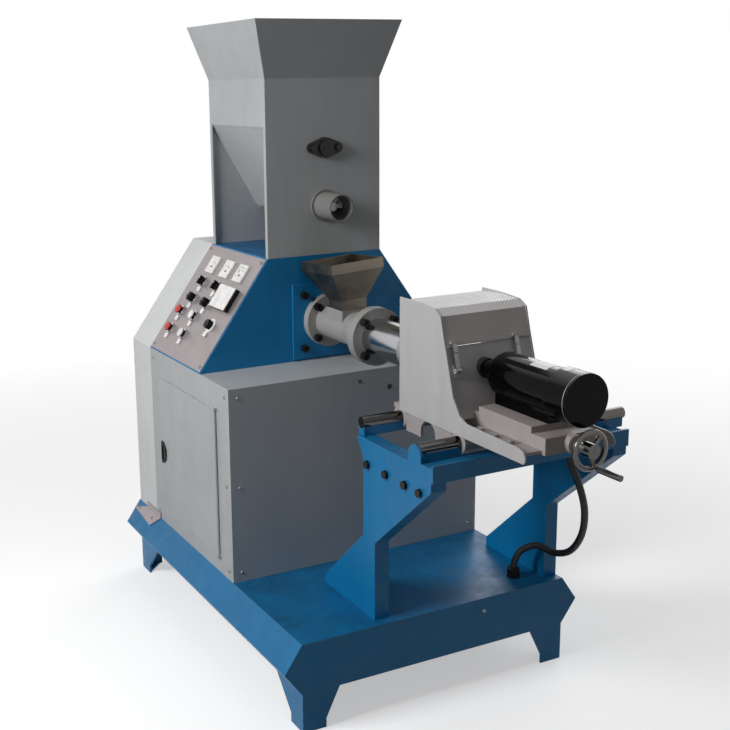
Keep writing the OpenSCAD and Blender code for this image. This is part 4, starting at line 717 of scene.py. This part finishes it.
# Round places on the cutter motor: turn is in degrees from the top, along is Y
cutterMotor = {
    "middle": (60, 732),
    "labels": {"steps": 20, "plates": [
        {"turn": (-26, 22), "along": (-270, -222), "radius": (44.02, 44.3)},
        {"turn": (-16, 18), "along": (-322, -304), "radius": (50.02, 50.3)},
    ]},
    "bands": {"steps": 96, "bevel": 0.2, "plates": [
        {"turn": (0, 360), "along": (-300, -296), "radius": (44.6, 45.15)},
        {"turn": (0, 360), "along": (-352, -350.6), "radius": (49.9, 50.35)},
    ]},
    "shaft": (35, 740),
    "shadeRing": {"steps": 64, "bevel": 0.5, "plates": [  # a dark rubber ring in the hole round the shaft, as painted shade in the hole
        {"turn": (0, 360), "along": (-102, -84), "radius": (9, 19.8)},
    ]},
}


def aroundAxis(middle):
    def place(turn, along, radius):
        u, v = math.sin(math.radians(turn)), math.cos(math.radians(turn))
        return Vector(((middle[0] + radius * u) * mm, along * mm - middleY, (middle[1] + radius * v) * mm))
    return place


def curvedPlate(turn, along, radius, steps):
    points, faces = [], []
    closed = turn[1] - turn[0] >= 360
    columns = steps if closed else steps + 1
    corners = [(along[0], radius[0]), (along[1], radius[0]), (along[1], radius[1]), (along[0], radius[1])]
    for k in range(columns):
        here = turn[0] + (turn[1] - turn[0]) * k / steps
        points += [(here, *corner) for corner in corners]
    for k in range(steps):
        here, there = 4 * k, 4 * ((k + 1) % columns)
        faces += [(here + i, here + (i + 1) % 4, there + (i + 1) % 4, there + i) for i in range(4)]
    if not closed:
        faces += [(0, 1, 2, 3), tuple(4 * (columns - 1) + i for i in (3, 2, 1, 0))]
    return points, faces


def makeMotorTrim(spec):
    for name, slot, key, middle in (("motor_labels", "white_plastic", "labels", "middle"),
                                    ("motor_bands", "die_steel", "bands", "middle"),
                                    # The dark ring round the shaft is painted shade in the hole
                                    ("shaft_shade_ring", "belt_rubber", "shadeRing", "shaft")):
        shapes = [curvedPlate(**plate, steps=spec[key]["steps"]) for plate in spec[key]["plates"]]
        buildPiece(name, "slide", slot, shapes, aroundAxis(spec[middle]), spec[key].get("bevel", 0))


makeMotorTrim(cutterMotor)
print("dials, marks and motor trim made")

# Plain pale floor, white behind, soft lamps
studio = {
    "floorSize": 30,
    "floorColour": 0.80,  # as the camera and polished metal see it
    "floorBounce": 0.18,  # as it lights the machine
    "floorRough": 0.9,
    "floorGlow": (0.46, 1.0),  # near the machine and far from it, where it meets the white background
    "glowFrom": (0.9, 3.2),  # metres from the middle
    "worldLight": 0.125,
    "lamps": [
        {"place": (-2.1, -0.1, 1.75), "target": (0, 0, 0.7), "size": 0.8, "watts": 38},
        {"place": (0.1, 0.2, 4.0), "target": (0, 0, 0.6), "size": 2.0, "watts": 7},
        {"place": (2.8, 1.8, 2.4), "target": (0, 0, 0.6), "size": 2.4, "watts": 34},
    ],
}


def seenDirectly(tree):
    rays = put(tree, "LightPath").outputs
    either = scalarMath(tree, "MAXIMUM", rays["Is Camera Ray"], rays["Is Glossy Ray"])
    return scalarMath(tree, "MAXIMUM", either, rays["Is Transmission Ray"])


def makeWorld(spec):
    world = bpy.data.worlds.new("studio")
    bpy.context.scene.world = world
    world.use_nodes = True
    tree = world.node_tree
    sky = tree.nodes["Background"]
    sky.inputs["Color"].default_value = (1, 1, 1, 1)
    strength = spread(tree, seenDirectly(tree), spec["worldLight"], 1.0, 0, 1)
    tree.links.new(strength, sky.inputs["Strength"])


def makeFloor(spec):
    half = spec["floorSize"] / 2
    corners = [(-half, -half, 0), (half, -half, 0), (half, half, 0), (-half, half, 0)]
    data = bpy.data.meshes.new("floor")
    data.from_pydata(corners, [], [(0, 1, 2, 3)])
    floor = bpy.data.objects.new("floor", data)
    bpy.context.scene.collection.objects.link(floor)
    finish, tree, shader, where = newFinish("floorPaint")
    seen = seenDirectly(tree)
    away = vectorMath(tree, "LENGTH", where, result="Value")
    fade = spread(tree, away, 0, 1, *spec["glowFrom"])
    colour = spread(tree, seen, spec["floorBounce"], spec["floorColour"], 0, 1)
    colour = times(tree, colour, spread(tree, fade, 1, 0, 0, 1))
    glow = times(tree, seen, spread(tree, fade, *spec["floorGlow"], 0, 1))
    for name, value in (("Base Color", colour), ("Roughness", spec["floorRough"]),
                        ("Specular IOR Level", 0.0), ("Emission Color", (1, 1, 1, 1)),
                        ("Emission Strength", glow)):
        feed(tree, value, shader.inputs[name])
    floor.data.materials.append(finish)


def hangLamp(name, spec):
    data = bpy.data.lights.new(name, "AREA")
    data.shape = "SQUARE"
    data.size = spec["size"]
    data.energy = spec["watts"]
    lamp = bpy.data.objects.new(name, data)
    lamp.location = spec["place"]
    away = Vector(spec["target"]) - Vector(spec["place"])
    lamp.rotation_euler = away.to_track_quat("-Z", "Y").to_euler()
    bpy.context.scene.collection.objects.link(lamp)


makeWorld(studio)
makeFloor(studio)
for i, lamp in enumerate(studio["lamps"]):
    hangLamp(f"lamp{i + 1}", lamp)
bpy.context.scene.view_settings.view_transform = "Standard"
print("floor, background and lamps set")
